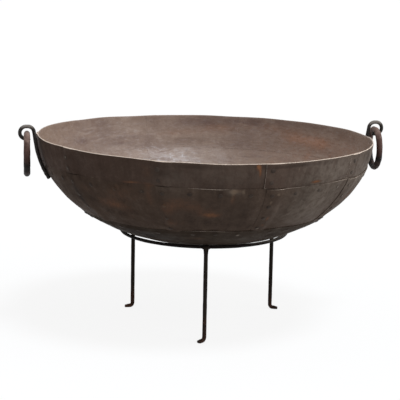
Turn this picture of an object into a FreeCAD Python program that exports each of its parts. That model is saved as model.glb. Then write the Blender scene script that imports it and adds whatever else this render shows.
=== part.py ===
"""Kadai fire pit: a riveted iron bowl with ring handles, resting in a three-legged rod stand.

Millimetres. The origin is on the floor under the middle of the stand, +Z is up and the handles lie on +X
and -X. A place on the bowl is given by its azimuth about +Z, by its lean (the angle between the wall and
the vertical there) and by its offset outwards from the rim course's outer face.
"""
import FreeCAD, Part
import math
import os
from collections import namedtuple

Vector = FreeCAD.Vector
UP = Vector(0, 0, 1)
FULL_TURN = 360.0
BASE_LEAN = 90.0
HANDLE_AZIMUTHS = (0.0, 180.0)

# Bowl outline: three tangent arcs from the rim to the axis
rim_diameter = 800.0
rim_lean = 6.2
shoulder_radius = 200.0
shoulder_end_lean = 33.4
flank_radius = 282.0
flank_end_lean = 63.0

# The rim's edge is level on one half, and on the other it slants up to its highest place
rim_rise = 9.4
rise_azimuth = 182.0
rim_spare = 1.0

# Sheet and laps
sheet = 3.0
lap_gap = 0.2
band_edge_depth = 55.0
base_edge_depth = 163.0
course_lap = 30.0
side_lap = 30.0
joggle_length = 12.0
butt_gap = 1.0
corner_relief = 1.5

# Plates of each course, and the azimuth of one free edge
rim_plate_count = 10
rim_seam_azimuth = 312.0
wall_plate_count = 10
wall_seam_azimuth = 313.0

# Rivets
rivet_shank_radius = 2.5
rivet_hole_clearance = 0.1
rivet_head_radius = 5.0
rivet_head_height = 2.4
rivet_tail_radius = 4.5
rivet_tail_height = 1.6
rivet_tail_clearance = 0.12
rim_seam_rivets = 2
wall_seam_rivets = 4
course_rivets_per_plate = 3
seam_rivet_margin = 14.0

# Handles: a rod bent to an open eye, its stem lying on the wall
handle_rod_diameter = 9.0
eye_hole_width = 24.0
eye_hole_height = 20.0
eye_end_turn = 22.0
stem_lean = 9.0
stem_straight = 31.0
stem_tail_depth = 87.5
stem_seat_clearance = 0.1
handle_rivet_shank_radius = 2.5
handle_rivet_head_radius = 4.0
handle_rivet_head_height = 2.4
handle_rivet_flat = 1.2
handle_rivet_count = 2
handle_rivet_margin = 13.0
handle_rivet_spacing = 14.0

# Rings
ring_outer_diameter = 110.0
ring_bar_diameter = 16.0
ring_hang_clearance = 0.3
ring_twists = {"ring_right": -4.0, "ring_left": -6.0}

# Stand
hoop_diameter = 400.0
hoop_bar_diameter = 8.0
hoop_height = 225.0
leg_diameter = 10.0
leg_azimuths = {"leg_front": 258.5, "leg_back_left": 138.5, "leg_back_right": 18.5}
toe_turns = {"leg_front": -45.0, "leg_back_left": 35.0, "leg_back_right": -35.0}
toe_bend_radius = 8.0
toe_reach = 19.5
toe_tip_thickness = 4.0
sole_flat = 1.5
weld_build_up = 3.2
weld_length = 18.0
weld_drop = 2.4
weld_fit = 0.05
bowl_seat_clearance = 0.3

# Places that follow from the sizes above
lap_step = sheet + lap_gap
rim_radius = rim_diameter / 2
hoop_radius = hoop_diameter / 2
hoop_bar_radius = hoop_bar_diameter / 2
weld_radius = hoop_bar_radius + weld_build_up
handle_rod_radius = handle_rod_diameter / 2
eye_bend = eye_hole_height / 2 + handle_rod_radius
eye_flat = eye_hole_width - eye_hole_height
ring_bar_radius = ring_bar_diameter / 2
ring_radius = ring_outer_diameter / 2 - ring_bar_radius
leg_radius = leg_diameter / 2
stem_offset = lap_step + stem_seat_clearance + handle_rod_radius
rim_pitch = FULL_TURN / rim_plate_count
wall_pitch = FULL_TURN / wall_plate_count


def sine(degrees):
    return math.sin(math.radians(degrees))


def cosine(degrees):
    return math.cos(math.radians(degrees))


def arc_degrees(length, radius):
    """Angle that a length of arc takes up at a radius."""
    return math.degrees(length / radius)


def outline_arcs():
    """Arcs of the bowl's outline, as centre radius, centre depth, radius, first lean and last lean.

    The shoulder's arc goes on above the level rim, to the vertical.
    """
    radius, depth = rim_radius, 0.0
    arcs = []
    shoulder = (shoulder_radius, rim_lean, shoulder_end_lean)
    flank = (flank_radius, shoulder_end_lean, flank_end_lean)
    for bend, first, last in (shoulder, flank):
        centre_radius = radius - bend * cosine(first)
        centre_depth = depth - bend * sine(first)
        arcs.append((centre_radius, centre_depth, bend, first, last))
        radius = centre_radius + bend * cosine(last)
        depth = centre_depth + bend * sine(last)
    arcs[0] = (*arcs[0][:3], 0.0, shoulder_end_lean)
    dish_radius = radius / cosine(flank_end_lean)
    arcs.append((0.0, depth - dish_radius * sine(flank_end_lean), dish_radius, flank_end_lean, BASE_LEAN))
    return arcs


ARCS = outline_arcs()


def arc_at(lean):
    """The arc of the outline that holds a lean."""
    for arc in ARCS:
        if lean <= arc[4]:
            return arc
    return ARCS[-1]


def lean_at_depth(depth):
    """Lean of the outline at a depth below the rim."""
    for centre_radius, centre_depth, bend, first, last in ARCS:
        if depth <= centre_depth + bend * sine(last):
            return math.degrees(math.asin((depth - centre_depth) / bend))
    return BASE_LEAN


def lean_along(lean, length):
    """Lean that lies a length of wall further down from a lean, or further up if it is negative."""
    return lean + arc_degrees(length, arc_at(lean)[2])


def depth_of_seat(offset, radius):
    """Depth below the rim at which the outline, moved outwards by an offset, has a radius."""
    for centre_radius, centre_depth, bend, first, last in ARCS:
        share = (radius - centre_radius) / (bend + offset)
        if cosine(last) - 1e-9 <= share <= cosine(first):
            return centre_depth + (bend + offset) * math.sin(math.acos(share))
    raise ValueError("the hoop is wider than the bowl")


base_offset = 2 * lap_step
seat_height = hoop_height - weld_drop
rim_height = seat_height + depth_of_seat(base_offset + weld_radius + bowl_seat_clearance, hoop_radius)
rim_top_lean = lean_along(rim_lean, -rim_rise - rim_spare)
band_edge_lean = lean_at_depth(band_edge_depth)
band_end_lean = lean_along(band_edge_lean, course_lap)
base_edge_lean = lean_at_depth(base_edge_depth)
wall_end_lean = lean_along(base_edge_lean, course_lap)
rim_strip_end = lean_along(band_edge_lean, -corner_relief)
wall_strip_end = lean_along(base_edge_lean, -corner_relief)
stem_tail_lean = lean_at_depth(stem_tail_depth)
side_lap_degrees = arc_degrees(side_lap, rim_radius)
joggle_degrees = arc_degrees(joggle_length, rim_radius)
butt_degrees = arc_degrees(butt_gap, rim_radius)


def outline_point(lean, offset, arc=None):
    """Point of the outline in the XZ plane, moved outwards by an offset."""
    centre_radius, centre_depth, bend, first, last = arc or arc_at(lean)
    reach = 0.0 if lean >= BASE_LEAN else centre_radius + (bend + offset) * cosine(lean)
    return Vector(reach, 0, rim_height - centre_depth - (bend + offset) * sine(lean))


def outline_edges(lean_a, lean_b, offset):
    """Arcs of the outline from one lean to another, moved outwards by an offset."""
    edges = []
    for arc in ARCS:
        first = max(lean_a, arc[3])
        last = min(lean_b, arc[4])
        if last > first:
            points = [outline_point(lean, offset, arc) for lean in (first, (first + last) / 2, last)]
            edges.append(Part.Arc(*points).toShape())
    return edges


def section(lean_a, lean_b, inner, outer):
    """Closed cross-section of a course in the XZ plane, between two leans and two offsets."""
    top = Part.LineSegment(outline_point(lean_a, inner), outline_point(lean_a, outer)).toShape()
    foot = Part.LineSegment(outline_point(lean_b, outer), outline_point(lean_b, inner)).toShape()
    edges = [top] + outline_edges(lean_a, lean_b, outer) + [foot] + outline_edges(lean_a, lean_b, inner)
    return Part.Wire(Part.__sortEdges__(edges))


def turned(shape, azimuth):
    """A copy of a shape turned about the bowl's axis."""
    copy = shape.copy()
    copy.rotate(Vector(), UP, azimuth)
    return copy


def swept_panel(azimuths, leans, inner, outer):
    """Panel of sheet between two azimuths, two leans and two offsets."""
    face = turned(Part.Face(section(leans[0], leans[1], inner, outer)), azimuths[0])
    return face.revolve(Vector(), UP, azimuths[1] - azimuths[0])


def side_joggle(azimuths, leans, inner, outer):
    """Bend that carries the sheet out by one lap step, from the second azimuth to the first."""
    raised = turned(section(leans[0], leans[1], inner + lap_step, outer + lap_step), azimuths[0])
    flush = turned(section(leans[0], leans[1], inner, outer), azimuths[1])
    return Part.makeLoft([raised, flush], True, True)


def lapped_plate(pitch, leans, strip_end, inner, outer):
    """Plate of a course, its free edge at azimuth zero, joggled out there to lap over the plate before it.

    The lapping strip stops short of the course below, where a flush tab takes its place.
    """
    panel_start = side_lap_degrees + joggle_degrees
    panel_end = side_lap_degrees + pitch - butt_degrees
    strip_leans = (leans[0], strip_end)
    tab_leans = (lean_along(strip_end, corner_relief), leans[1])
    panel = swept_panel((panel_start, panel_end), leans, inner, outer)
    tab = swept_panel((side_lap_degrees, panel_start), tab_leans, inner, outer)
    joggle = side_joggle((side_lap_degrees, panel_start), strip_leans, inner, outer)
    strip = swept_panel((0.0, side_lap_degrees), strip_leans, inner + lap_step, outer + lap_step)
    return panel.fuse([tab, joggle, strip]).removeSplitter()


def outward(azimuth, lean):
    """Direction square to the wall, pointing out of the bowl."""
    return Vector(cosine(lean) * cosine(azimuth), cosine(lean) * sine(azimuth), -sine(lean))


def wall_point(azimuth, lean, offset):
    """Point on the wall, moved outwards by an offset."""
    point = outline_point(lean, offset)
    return Vector(point.x * cosine(azimuth), point.x * sine(azimuth), point.z)


RivetPlace = namedtuple("RivetPlace", "azimuth lean inner outer shank head_radius head_height")


def seam_place(azimuth, lean, inner, outer):
    """Place of a seam rivet that grips everything between two offsets."""
    return RivetPlace(azimuth, lean, inner, outer, rivet_shank_radius, rivet_head_radius, rivet_head_height)


def cap(radius, height, base, side):
    """Part of a sphere with a flat round face at a height, bulging up (side 1) or down (side -1)."""
    ball_radius = (radius ** 2 + height ** 2) / (2 * height)
    ball = Part.makeSphere(ball_radius, Vector(0, 0, base + side * (height - ball_radius)))
    keep = Part.makeCylinder(ball_radius, 2 * ball_radius, Vector(0, 0, base), UP * side)
    return ball.common(keep)


def rivet(place):
    """Round-headed rivet, peened over inside the bowl."""
    grip = place.outer - place.inner + rivet_tail_clearance
    head = cap(place.head_radius, place.head_height, grip, 1)
    tail = cap(rivet_tail_radius, rivet_tail_height, 0.0, -1)
    solid = Part.makeCylinder(place.shank, grip).fuse([head, tail])
    seat = wall_point(place.azimuth, place.lean, place.inner - rivet_tail_clearance)
    square = outward(place.azimuth, place.lean)
    solid.Placement = FreeCAD.Placement(seat, FreeCAD.Rotation(UP, square))
    return solid


def rivet_group(places):
    """Group of rivets, one solid at each place."""
    return Part.makeCompound([rivet(place) for place in places])


def rivet_hole(place):
    """Cylinder that clears a rivet's shank, a sheet's thickness past both ends of its grip."""
    start = wall_point(place.azimuth, place.lean, place.inner - sheet)
    length = place.outer - place.inner + 2 * sheet
    square = outward(place.azimuth, place.lean)
    return Part.makeCylinder(place.shank + rivet_hole_clearance, length, start, square)


def evenly(first, last, count):
    """Count values spread evenly from the first to the last."""
    return [first + (last - first) * index / max(count - 1, 1) for index in range(count)]


def behind_stem(azimuth):
    """Whether a place on the wall lies under a handle's stem."""
    reach = arc_degrees(handle_rod_radius + 2 * rivet_head_radius, rim_radius)
    return min(azimuth % 180.0, -azimuth % 180.0) < reach


def plate_azimuths(edge_azimuth, pitch):
    """Azimuths of the course rivets on the flush part of a plate."""
    start = edge_azimuth + side_lap_degrees + joggle_degrees
    step = (edge_azimuth + pitch - start) / course_rivets_per_plate
    return [start + (index + 0.5) * step for index in range(course_rivets_per_plate)]


def rim_seam_places():
    """Rivets that join each rim plate's strip to the plate before it."""
    first = lean_along(rim_lean, seam_rivet_margin)
    last = lean_along(rim_strip_end, -seam_rivet_margin)
    places = []
    for index in range(rim_plate_count):
        azimuth = rim_seam_azimuth + index * rim_pitch + side_lap_degrees / 2
        leans = evenly(first, last, rim_seam_rivets)
        places += [seam_place(azimuth, lean, -sheet, lap_step) for lean in leans]
    return places


def wall_seam_places():
    """Rivets that join each wall plate's strip to the plate before it.

    The first of each row also goes through the rim course.
    """
    band_row = lean_along(band_edge_lean, course_lap / 2)
    first = lean_along(band_end_lean, seam_rivet_margin)
    last = lean_along(wall_strip_end, -seam_rivet_margin)
    places = []
    for index in range(wall_plate_count):
        azimuth = wall_seam_azimuth + index * wall_pitch + side_lap_degrees / 2
        places.append(seam_place(azimuth, band_row, -sheet, 2 * lap_step))
        leans = evenly(first, last, wall_seam_rivets - 1)
        places += [seam_place(azimuth, lean, lap_gap, 2 * lap_step) for lean in leans]
    return places


def band_seam_places():
    """Rivets that join the wall course to the rim course, left out behind the handle stems."""
    lean = lean_along(band_edge_lean, course_lap / 2)
    places = []
    for index in range(wall_plate_count):
        azimuths = plate_azimuths(wall_seam_azimuth + index * wall_pitch, wall_pitch)
        azimuths = [azimuth for azimuth in azimuths if not behind_stem(azimuth)]
        places += [seam_place(azimuth, lean, -sheet, lap_step) for azimuth in azimuths]
    return places


def base_seam_places():
    """Rivets that join the base dish to the wall course."""
    lean = lean_along(base_edge_lean, course_lap / 2)
    places = []
    for index in range(wall_plate_count):
        azimuths = plate_azimuths(wall_seam_azimuth + index * wall_pitch, wall_pitch)
        places += [seam_place(azimuth, lean, lap_gap, base_offset) for azimuth in azimuths]
    return places


def handle_rivet_places():
    """Rivets through each handle's stem, the inner end on whichever course is innermost there."""
    outer = stem_offset + handle_rod_radius - handle_rivet_flat
    places = []
    for azimuth in HANDLE_AZIMUTHS:
        for index in range(handle_rivet_count):
            lean = lean_along(stem_tail_lean, -handle_rivet_margin - index * handle_rivet_spacing)
            innermost = -sheet if lean < band_end_lean else lap_gap
            head = (handle_rivet_head_radius, handle_rivet_head_height)
            places.append(RivetPlace(azimuth, lean, innermost, outer, handle_rivet_shank_radius, *head))
    return places


def places_on_plate(places, edge, span, leans):
    """Rivet places on a plate, a head's width to spare, turned as if its free edge were at azimuth zero."""
    spare = arc_degrees(rivet_head_radius, rim_radius)
    found = []
    for place in places:
        turn = (place.azimuth - edge + spare) % FULL_TURN - spare
        if turn < span + spare and leans[0] < place.lean < leans[1]:
            found.append(place._replace(azimuth=round(turn, 6)))
    return found


def drilled_course(name, blank, count, seam_azimuth, leans, places):
    """Plates of a course with their rivet holes; plates with the same holes are drilled once and turned."""
    pitch = FULL_TURN / count
    drilled = {}
    nodes = {}
    for index in range(count):
        edge = seam_azimuth + index * pitch
        held = tuple(places_on_plate(places, edge, pitch + side_lap_degrees, leans))
        if held not in drilled:
            drilled[held] = blank.cut([rivet_hole(place) for place in held])
        nodes[f"{name}_{index + 1:02d}"] = turned(drilled[held], edge)
    return nodes


def over_rim():
    """Space over the rim's edge: above the rim's level on one half, and above the slant on the other."""
    reach = 2 * rim_radius
    top = rim_height + rim_radius
    corners = [
        Vector(-reach, -reach, rim_height),
        Vector(0, -reach, rim_height),
        Vector(reach, -reach, rim_height + rim_rise * reach / rim_radius),
        Vector(reach, -reach, top),
        Vector(-reach, -reach, top),
    ]
    side = Part.Face(Part.makePolygon(corners + corners[:1]))
    return turned(side.extrude(Vector(0, 2 * reach, 0)), rise_azimuth)


def bowl_nodes():
    """Base dish, wall plates, rim plates and the rivets that hold them and the handles."""
    rivets = {
        "rim_seam_rivets": rim_seam_places(),
        "band_seam_rivets": band_seam_places(),
        "wall_seam_rivets": wall_seam_places(),
        "base_seam_rivets": base_seam_places(),
        "handle_rivets": handle_rivet_places(),
    }
    places = sum(rivets.values(), [])
    rim_leans = (rim_top_lean, band_end_lean)
    rim_blank = lapped_plate(rim_pitch, rim_leans, rim_strip_end, -sheet, 0.0)
    rim_course = drilled_course("rim_plate", rim_blank, rim_plate_count, rim_seam_azimuth, rim_leans, places)
    trim = over_rim()
    nodes = {name: plate.cut(trim) for name, plate in rim_course.items()}
    wall_leans = (band_edge_lean, wall_end_lean)
    wall_blank = lapped_plate(wall_pitch, wall_leans, wall_strip_end, lap_gap, lap_step)
    nodes |= drilled_course("wall_plate", wall_blank, wall_plate_count, wall_seam_azimuth, wall_leans, places)
    dish_section = Part.Face(section(base_edge_lean, BASE_LEAN, base_offset - sheet, base_offset))
    dish = dish_section.revolve(Vector(), UP, FULL_TURN)
    nodes["base_dish"] = dish.cut([rivet_hole(place) for place in rivets["base_seam_rivets"]])
    for name, group in rivets.items():
        nodes[name] = rivet_group(group)
    return nodes


def stem_start():
    """Upper end of the stem's wall stretch, in the XZ plane."""
    return outline_point(stem_lean, stem_offset)


def eye_centre():
    """Middle of the right handle's eye: the stem runs straight up from the wall and meets the eye's side."""
    along = Vector(sine(stem_lean), 0, cosine(stem_lean))
    inner_bend = stem_start() + along * stem_straight + outward(0.0, stem_lean) * eye_bend
    return inner_bend + Vector(eye_flat / 2, 0, 0)


def eye_point(side, angle):
    """Point of the eye's centre line, on its inner bend (side -1) or its outer bend (side 1)."""
    return eye_centre() + Vector(side * eye_flat / 2 + eye_bend * cosine(angle), 0, eye_bend * sine(angle))


def eye_arc(side, first, last):
    """Stretch of one of the eye's two bends."""
    points = [eye_point(side, angle) for angle in (first, (first + last) / 2, last)]
    return Part.Arc(*points).toShape()


def handle_rod():
    """Right handle: an oval eye that almost closes, a straight rise and a stem that follows the wall."""
    end_angle = -90.0 - eye_end_turn
    stem_angle = 180.0 - stem_lean
    path = Part.Wire([
        eye_arc(-1, end_angle, -90.0),
        Part.LineSegment(eye_point(-1, -90.0), eye_point(1, -90.0)).toShape(),
        eye_arc(1, -90.0, 90.0),
        Part.LineSegment(eye_point(1, 90.0), eye_point(-1, 90.0)).toShape(),
        eye_arc(-1, 90.0, stem_angle),
        Part.LineSegment(eye_point(-1, stem_angle), stem_start()).toShape(),
        *outline_edges(stem_lean, stem_tail_lean, stem_offset),
    ])
    start_direction = Vector(-sine(end_angle), 0, cosine(end_angle))
    bar = Part.Wire(Part.makeCircle(handle_rod_radius, eye_point(-1, end_angle), start_direction))
    rod = path.makePipeShell([bar], True, False)
    cuts = []
    for place in handle_rivet_places():
        if place.azimuth == HANDLE_AZIMUTHS[0]:
            seat = wall_point(place.azimuth, place.lean, place.outer)
            spot_radius = place.head_radius + rivet_hole_clearance
            square = outward(place.azimuth, place.lean)
            cuts += [rivet_hole(place), Part.makeCylinder(spot_radius, handle_rod_diameter, seat, square)]
    return rod.cut(cuts)


def ring_pivot():
    """Middle of the ring's bar where it lies in the bottom of the right handle's eye."""
    drop = eye_hole_height / 2 - ring_bar_radius - ring_hang_clearance
    return eye_centre() - UP * drop


def ring(twist):
    """Ring hanging in the right handle's eye, twisted in it from the plane across the handle."""
    square = Vector(cosine(twist), sine(twist), 0)
    return Part.makeTorus(ring_radius, ring_bar_radius, ring_pivot() - UP * ring_radius, square)


def handle_nodes():
    """The two handle rods and their rings, the left pair turned half round from the right."""
    rod = handle_rod()
    nodes = {}
    for side, azimuth in zip(("right", "left"), HANDLE_AZIMUTHS):
        nodes[f"handle_{side}"] = turned(rod, azimuth)
        nodes[f"ring_{side}"] = turned(ring(ring_twists[f"ring_{side}"]), azimuth)
    return nodes


def hoop_stretch(azimuth, bar_radius, height):
    """Bar of a radius along the hoop, a weld's length over a leg and with its middle at a height."""
    circle = Part.makeCircle(bar_radius, Vector(hoop_radius, 0, height), Vector(0, 1, 0))
    span = arc_degrees(weld_length, hoop_radius)
    face = turned(Part.Face(Part.Wire(circle)), azimuth - span / 2)
    return face.revolve(Vector(), UP, span)


def leg_bar():
    """Upright leg whose end is bent along +X to a toe, drawn thin at its tip and flat underneath."""
    axis_height = leg_radius - sole_flat
    top = Vector(0, 0, hoop_height)
    bend_start = Vector(0, 0, axis_height + toe_bend_radius)
    bend_middle = Vector(
        toe_bend_radius * (1 - cosine(45)), 0, axis_height + toe_bend_radius * (1 - sine(45))
    )
    bend_end = Vector(toe_bend_radius, 0, axis_height)
    tip = Vector(toe_reach, 0, axis_height)
    path = Part.Wire([
        Part.LineSegment(top, bend_start).toShape(),
        Part.Arc(bend_start, bend_middle, bend_end).toShape(),
        Part.LineSegment(bend_end, tip).toShape(),
    ])
    bar = path.makePipeShell([Part.Wire(Part.makeCircle(leg_radius, top, UP))], True, False)
    width = 2 * leg_diameter
    floor = Part.makeBox(4 * toe_reach, width, leg_diameter, Vector(-toe_reach, -width / 2, -leg_diameter))
    taper = Part.makePolygon([
        Vector(bend_end.x, -width / 2, axis_height + leg_radius),
        Vector(tip.x, -width / 2, toe_tip_thickness),
        Vector(tip.x, -width / 2, axis_height + leg_radius),
        Vector(bend_end.x, -width / 2, axis_height + leg_radius),
    ])
    return bar.cut([floor, Part.Face(taper).extrude(Vector(0, width, 0))])


def stand_nodes():
    """Hoop, legs and the weld lumps that join them and carry the bowl."""
    nodes = {"stand_hoop": Part.makeTorus(hoop_radius, hoop_bar_radius, Vector(0, 0, hoop_height), UP)}
    welds = []
    for name, azimuth in leg_azimuths.items():
        leg = turned(leg_bar(), azimuth + toe_turns[name])
        leg.translate(Vector(hoop_radius * cosine(azimuth), hoop_radius * sine(azimuth), 0))
        lump = hoop_stretch(azimuth, weld_radius, seat_height)
        nodes[name] = leg.cut(lump)
        welds.append(lump.cut(hoop_stretch(azimuth, hoop_bar_radius + weld_fit, hoop_height)))
    nodes["leg_welds"] = Part.makeCompound(welds)
    return nodes


def main():
    """Writes one STEP file for each node."""
    os.makedirs("parts", exist_ok=True)
    nodes = {**bowl_nodes(), **handle_nodes(), **stand_nodes()}
    for name, shape in nodes.items():
        shape.exportStep(f"parts/{name}.step")


if __name__ == "__main__":
    main()
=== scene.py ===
"""Kadai fire pit: a hammered, riveted iron bowl with ring handles, resting in a three-legged rod stand.

Sizes are in millimetres until a mesh is made. The origin is on the floor under the middle of the stand, +Z
is up and the handles lie on +X and -X. A place on the bowl is an azimuth about +Z, a length of wall down
from the rim and an offset outwards from the rim course's outer face.
"""

import logging
import math
from dataclasses import dataclass, field
from enum import Enum
from functools import cached_property

import bpy
import numpy as np
from mathutils import Matrix, Vector


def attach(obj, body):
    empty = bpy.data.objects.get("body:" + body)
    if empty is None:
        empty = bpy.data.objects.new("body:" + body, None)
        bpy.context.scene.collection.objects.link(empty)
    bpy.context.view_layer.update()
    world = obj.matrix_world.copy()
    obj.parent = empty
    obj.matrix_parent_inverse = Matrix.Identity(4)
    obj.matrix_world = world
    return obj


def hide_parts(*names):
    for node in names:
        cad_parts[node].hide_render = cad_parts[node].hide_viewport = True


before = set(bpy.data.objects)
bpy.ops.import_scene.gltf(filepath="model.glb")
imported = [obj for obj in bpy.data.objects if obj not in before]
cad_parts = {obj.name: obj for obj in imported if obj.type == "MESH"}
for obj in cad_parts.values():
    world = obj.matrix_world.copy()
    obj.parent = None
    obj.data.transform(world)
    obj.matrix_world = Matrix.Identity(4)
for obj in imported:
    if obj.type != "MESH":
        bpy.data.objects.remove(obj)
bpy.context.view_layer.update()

LOG = logging.getLogger("fire_pit")
Array = np.ndarray
Socket = bpy.types.NodeSocket
Inputs = bpy.types.NodeInputs
Outputs = bpy.types.NodeOutputs
Node = bpy.types.Node
Tree = bpy.types.NodeTree
Material = bpy.types.Material
Finishes = tuple[Material, ...]
Shade = tuple[int, int, int]
Span = tuple[float, float]
Triple = tuple[float, float, float]
Patch = tuple[float, float, float, float, float]
MM = 0.001
FULL_TURN = 2 * math.pi
UP = np.array([0.0, 0.0, 1.0])
ACROSS = np.array([0.0, 1.0, 0.0])
SHARP_ANGLE = 50.0
# Sizes that more than one sub-assembly takes.
PLATE_COUNT = 10
HOOP_RADIUS = 200.0
LEG_AZIMUTHS = (258.5, 138.5, 18.5)
STEM_RIVET_DOWNS = (80.755, 66.755)
RIM_INNER, WALL_INNER, WALL_OUTER, BASE_OUTER = -3.0, 0.2, 3.2, 6.4
# Close grid lines at a sheet's rounded edge, and close stations at a rod's end.
EDGE_LINES = np.array([0.0, 0.45, 1.1, 2.0])
END_STATIONS = np.array([0.0, 0.5, 1.2])
# Length over which a rod's end is rounded, and the share of its radius left at the end.
ROD_END = 2.2
ROD_END_LEFT = 0.55
# Sine that scatters the hammer's blows.
BLOW_MIXING = np.array([[12.99, 39.35, 73.16], [78.23, 11.14, 52.24], [37.72, 83.16, 9.15]])
BLOW_SCALE = 43758.5453
# Colour curve of the screen: straight below a limit, a shifted power above it.
SCREEN_STEPS = 255.0
CURVE_LIMIT, CURVE_SLOPE, CURVE_SHIFT, CURVE_POWER = 0.04045, 12.92, 0.055, 2.4
# Places of factor, colours and result among the sockets of a colour mix.
MIX_INPUTS, MIX_RESULT = (0, 6, 7), 2
WHITE = (1.0, 1.0, 1.0, 1.0)


class Body(Enum):
    """Bodies of the frame that pieces ride on."""

    STAND = "stand"
    BOWL = "bowl"
    RING_LEFT = "ring_left"
    RING_RIGHT = "ring_right"


class Slot(Enum):
    """Material slots of the record."""

    RIM = "rim_iron"
    WALL = "wall_iron"
    BASE = "base_iron"
    RIVET = "rivet_iron"
    HANDLE = "handle_iron"
    RING = "ring_iron"
    STAND = "stand_iron"


class Mark(Enum):
    """Masks kept on a mesh's points, which the finishes read. The soot mask also holds painted shade, the
    scuff mask a painted sheen inside the bowl, the pale mask painted light and the edge mask painted
    highlights.
    """

    INSIDE = "inside"
    EDGE = "edge"
    RUST = "rust"
    SCUFF = "scuff"
    SOOT = "soot"
    PALE = "pale"


def smooth_step(value: Array, low: float, high: float) -> Array:
    """Rises smoothly from 0 at low to 1 at high: 3s^2 - 2s^3 of the share s of the way.

    Args:
        value: Values to map.
        low: Value that gives 0.
        high: Value that gives 1.

    Returns:
        The mapped values.
    """
    share = np.clip((value - low) / (high - low), 0.0, 1.0)
    return share * share * (3.0 - 2.0 * share)


def even_turns(count: int) -> Array:
    """Angles spread evenly over a full turn."""
    return np.arange(count) * FULL_TURN / count


def turned_apart(azimuth: Array, middle: Array | float) -> Array:
    """Turns in radians from a middle azimuth, held between minus and plus half a turn."""
    return (azimuth - middle + math.pi) % FULL_TURN - math.pi


def level_spokes(turn: Array | float) -> Array:
    """Level unit directions at turns in radians: (cos, sin, 0)."""
    return np.stack([np.cos(turn), np.sin(turn), np.zeros_like(turn)], -1)


def run_length(line: Array) -> Array:
    """Length along a line at each of its points."""
    return np.concatenate([[0.0], np.cumsum(np.linalg.norm(np.diff(line, axis=0), axis=1))])


def grid_lines(first: float, last: float, step: float, fine_first: bool, fine_last: bool) -> Array:
    """Grid lines about a step apart, drawn closer together towards a rounded end.

    Args:
        first: First line.
        last: Last line.
        step: Spacing aimed for away from the ends.
        fine_first: Whether the first end is rounded.
        fine_last: Whether the last end is rounded.

    Returns:
        Rising line positions from first to last.
    """
    head = first + EDGE_LINES if fine_first else np.array([first])
    tail = last - EDGE_LINES[::-1] if fine_last else np.array([last])
    count = max(int(round((tail[0] - head[-1]) / step)), 1)
    middle = np.linspace(head[-1], tail[0], count + 1)
    return np.concatenate([head[:-1], middle, tail[1:]])


def rows_of(faces: Array | list, corners: int) -> Array:
    """Face corners as a table with one face to a row."""
    return np.asarray(faces, dtype=np.int64).reshape(-1, corners)


def ring_skin(count: int, around: int, closed: bool) -> tuple[Array, Array]:
    """Faces over a row of rings, either closed end to end or ending in a point at each end.

    Ring i holds points i * around to i * around + around - 1. With open ends the two points follow the rings.

    Args:
        count: Number of rings.
        around: Points in a ring.
        closed: Whether the last ring joins the first.

    Returns:
        Four-cornered faces and three-cornered faces.
    """
    index = np.arange(count * around).reshape(count, around)
    ahead = np.roll(index, -1, axis=1)
    if closed:
        after, after_ahead = np.roll(index, -1, axis=0), np.roll(ahead, -1, axis=0)
        return rows_of(np.stack([index, ahead, after_ahead, after], -1), 4), rows_of([], 3)
    quads = np.stack([index[:-1], ahead[:-1], ahead[1:], index[1:]], -1)
    first, last = np.full(around, count * around), np.full(around, count * around + 1)
    triangles = np.concatenate([
        np.stack([ahead[0], index[0], first], -1),
        np.stack([index[-1], ahead[-1], last], -1),
    ])
    return rows_of(quads, 4), rows_of(triangles, 3)


def sheet_skin(keep: Array) -> Array:
    """Faces of a sheet with two sides: both sides of every kept cell, and walls along the kept cells' border.

    The outer side's points come first, row by row, and the inner side's points follow in the same order.

    Args:
        keep: Table of cells, true where the sheet has metal.

    Returns:
        Four-cornered faces.
    """
    rows, columns = keep.shape
    outer = np.arange((rows + 1) * (columns + 1)).reshape(rows + 1, columns + 1)
    inner = outer + outer.size
    here, right, below, across = outer[:-1, :-1], outer[:-1, 1:], outer[1:, :-1], outer[1:, 1:]
    front = np.stack([here[keep], below[keep], across[keep], right[keep]], -1)
    back = front[:, ::-1] + outer.size
    padded = np.pad(keep, 1)
    over, under = padded[:-1, 1:-1], padded[1:, 1:-1]
    before, after = padded[1:-1, :-1], padded[1:-1, 1:]
    ends = (
        (outer[:, :-1], outer[:, 1:], inner[:, 1:], inner[:, :-1], under & ~over),
        (outer[:, 1:], outer[:, :-1], inner[:, :-1], inner[:, 1:], over & ~under),
        (outer[1:, :], outer[:-1, :], inner[:-1, :], inner[1:, :], after & ~before),
        (outer[:-1, :], outer[1:, :], inner[1:, :], inner[:-1, :], before & ~after),
    )
    walls = [np.stack([corner[border] for corner in corners], -1) for *corners, border in ends]
    return np.concatenate([front, back, *walls])


def turned_out(points: Array, quads: Array, triangles: Array) -> tuple[Array, Array]:
    """Faces of a closed skin, with their corners reversed where its volume is negative.

    The volume is the sum of p0 . (p1 x p2) / 6 over the faces, split into triangles.

    Args:
        points: Points of the skin.
        quads: Four-cornered faces.
        triangles: Three-cornered faces.

    Returns:
        Both tables of faces, pointing outwards.
    """
    split = np.concatenate([quads[:, [0, 1, 2]], quads[:, [0, 2, 3]], triangles])
    corner = points[split]
    volume = np.einsum("ij,ij->i", corner[:, 0], np.cross(corner[:, 1], corner[:, 2])).sum() / 6.0
    return (quads, triangles) if volume > 0 else (quads[:, ::-1], triangles[:, ::-1])


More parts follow.
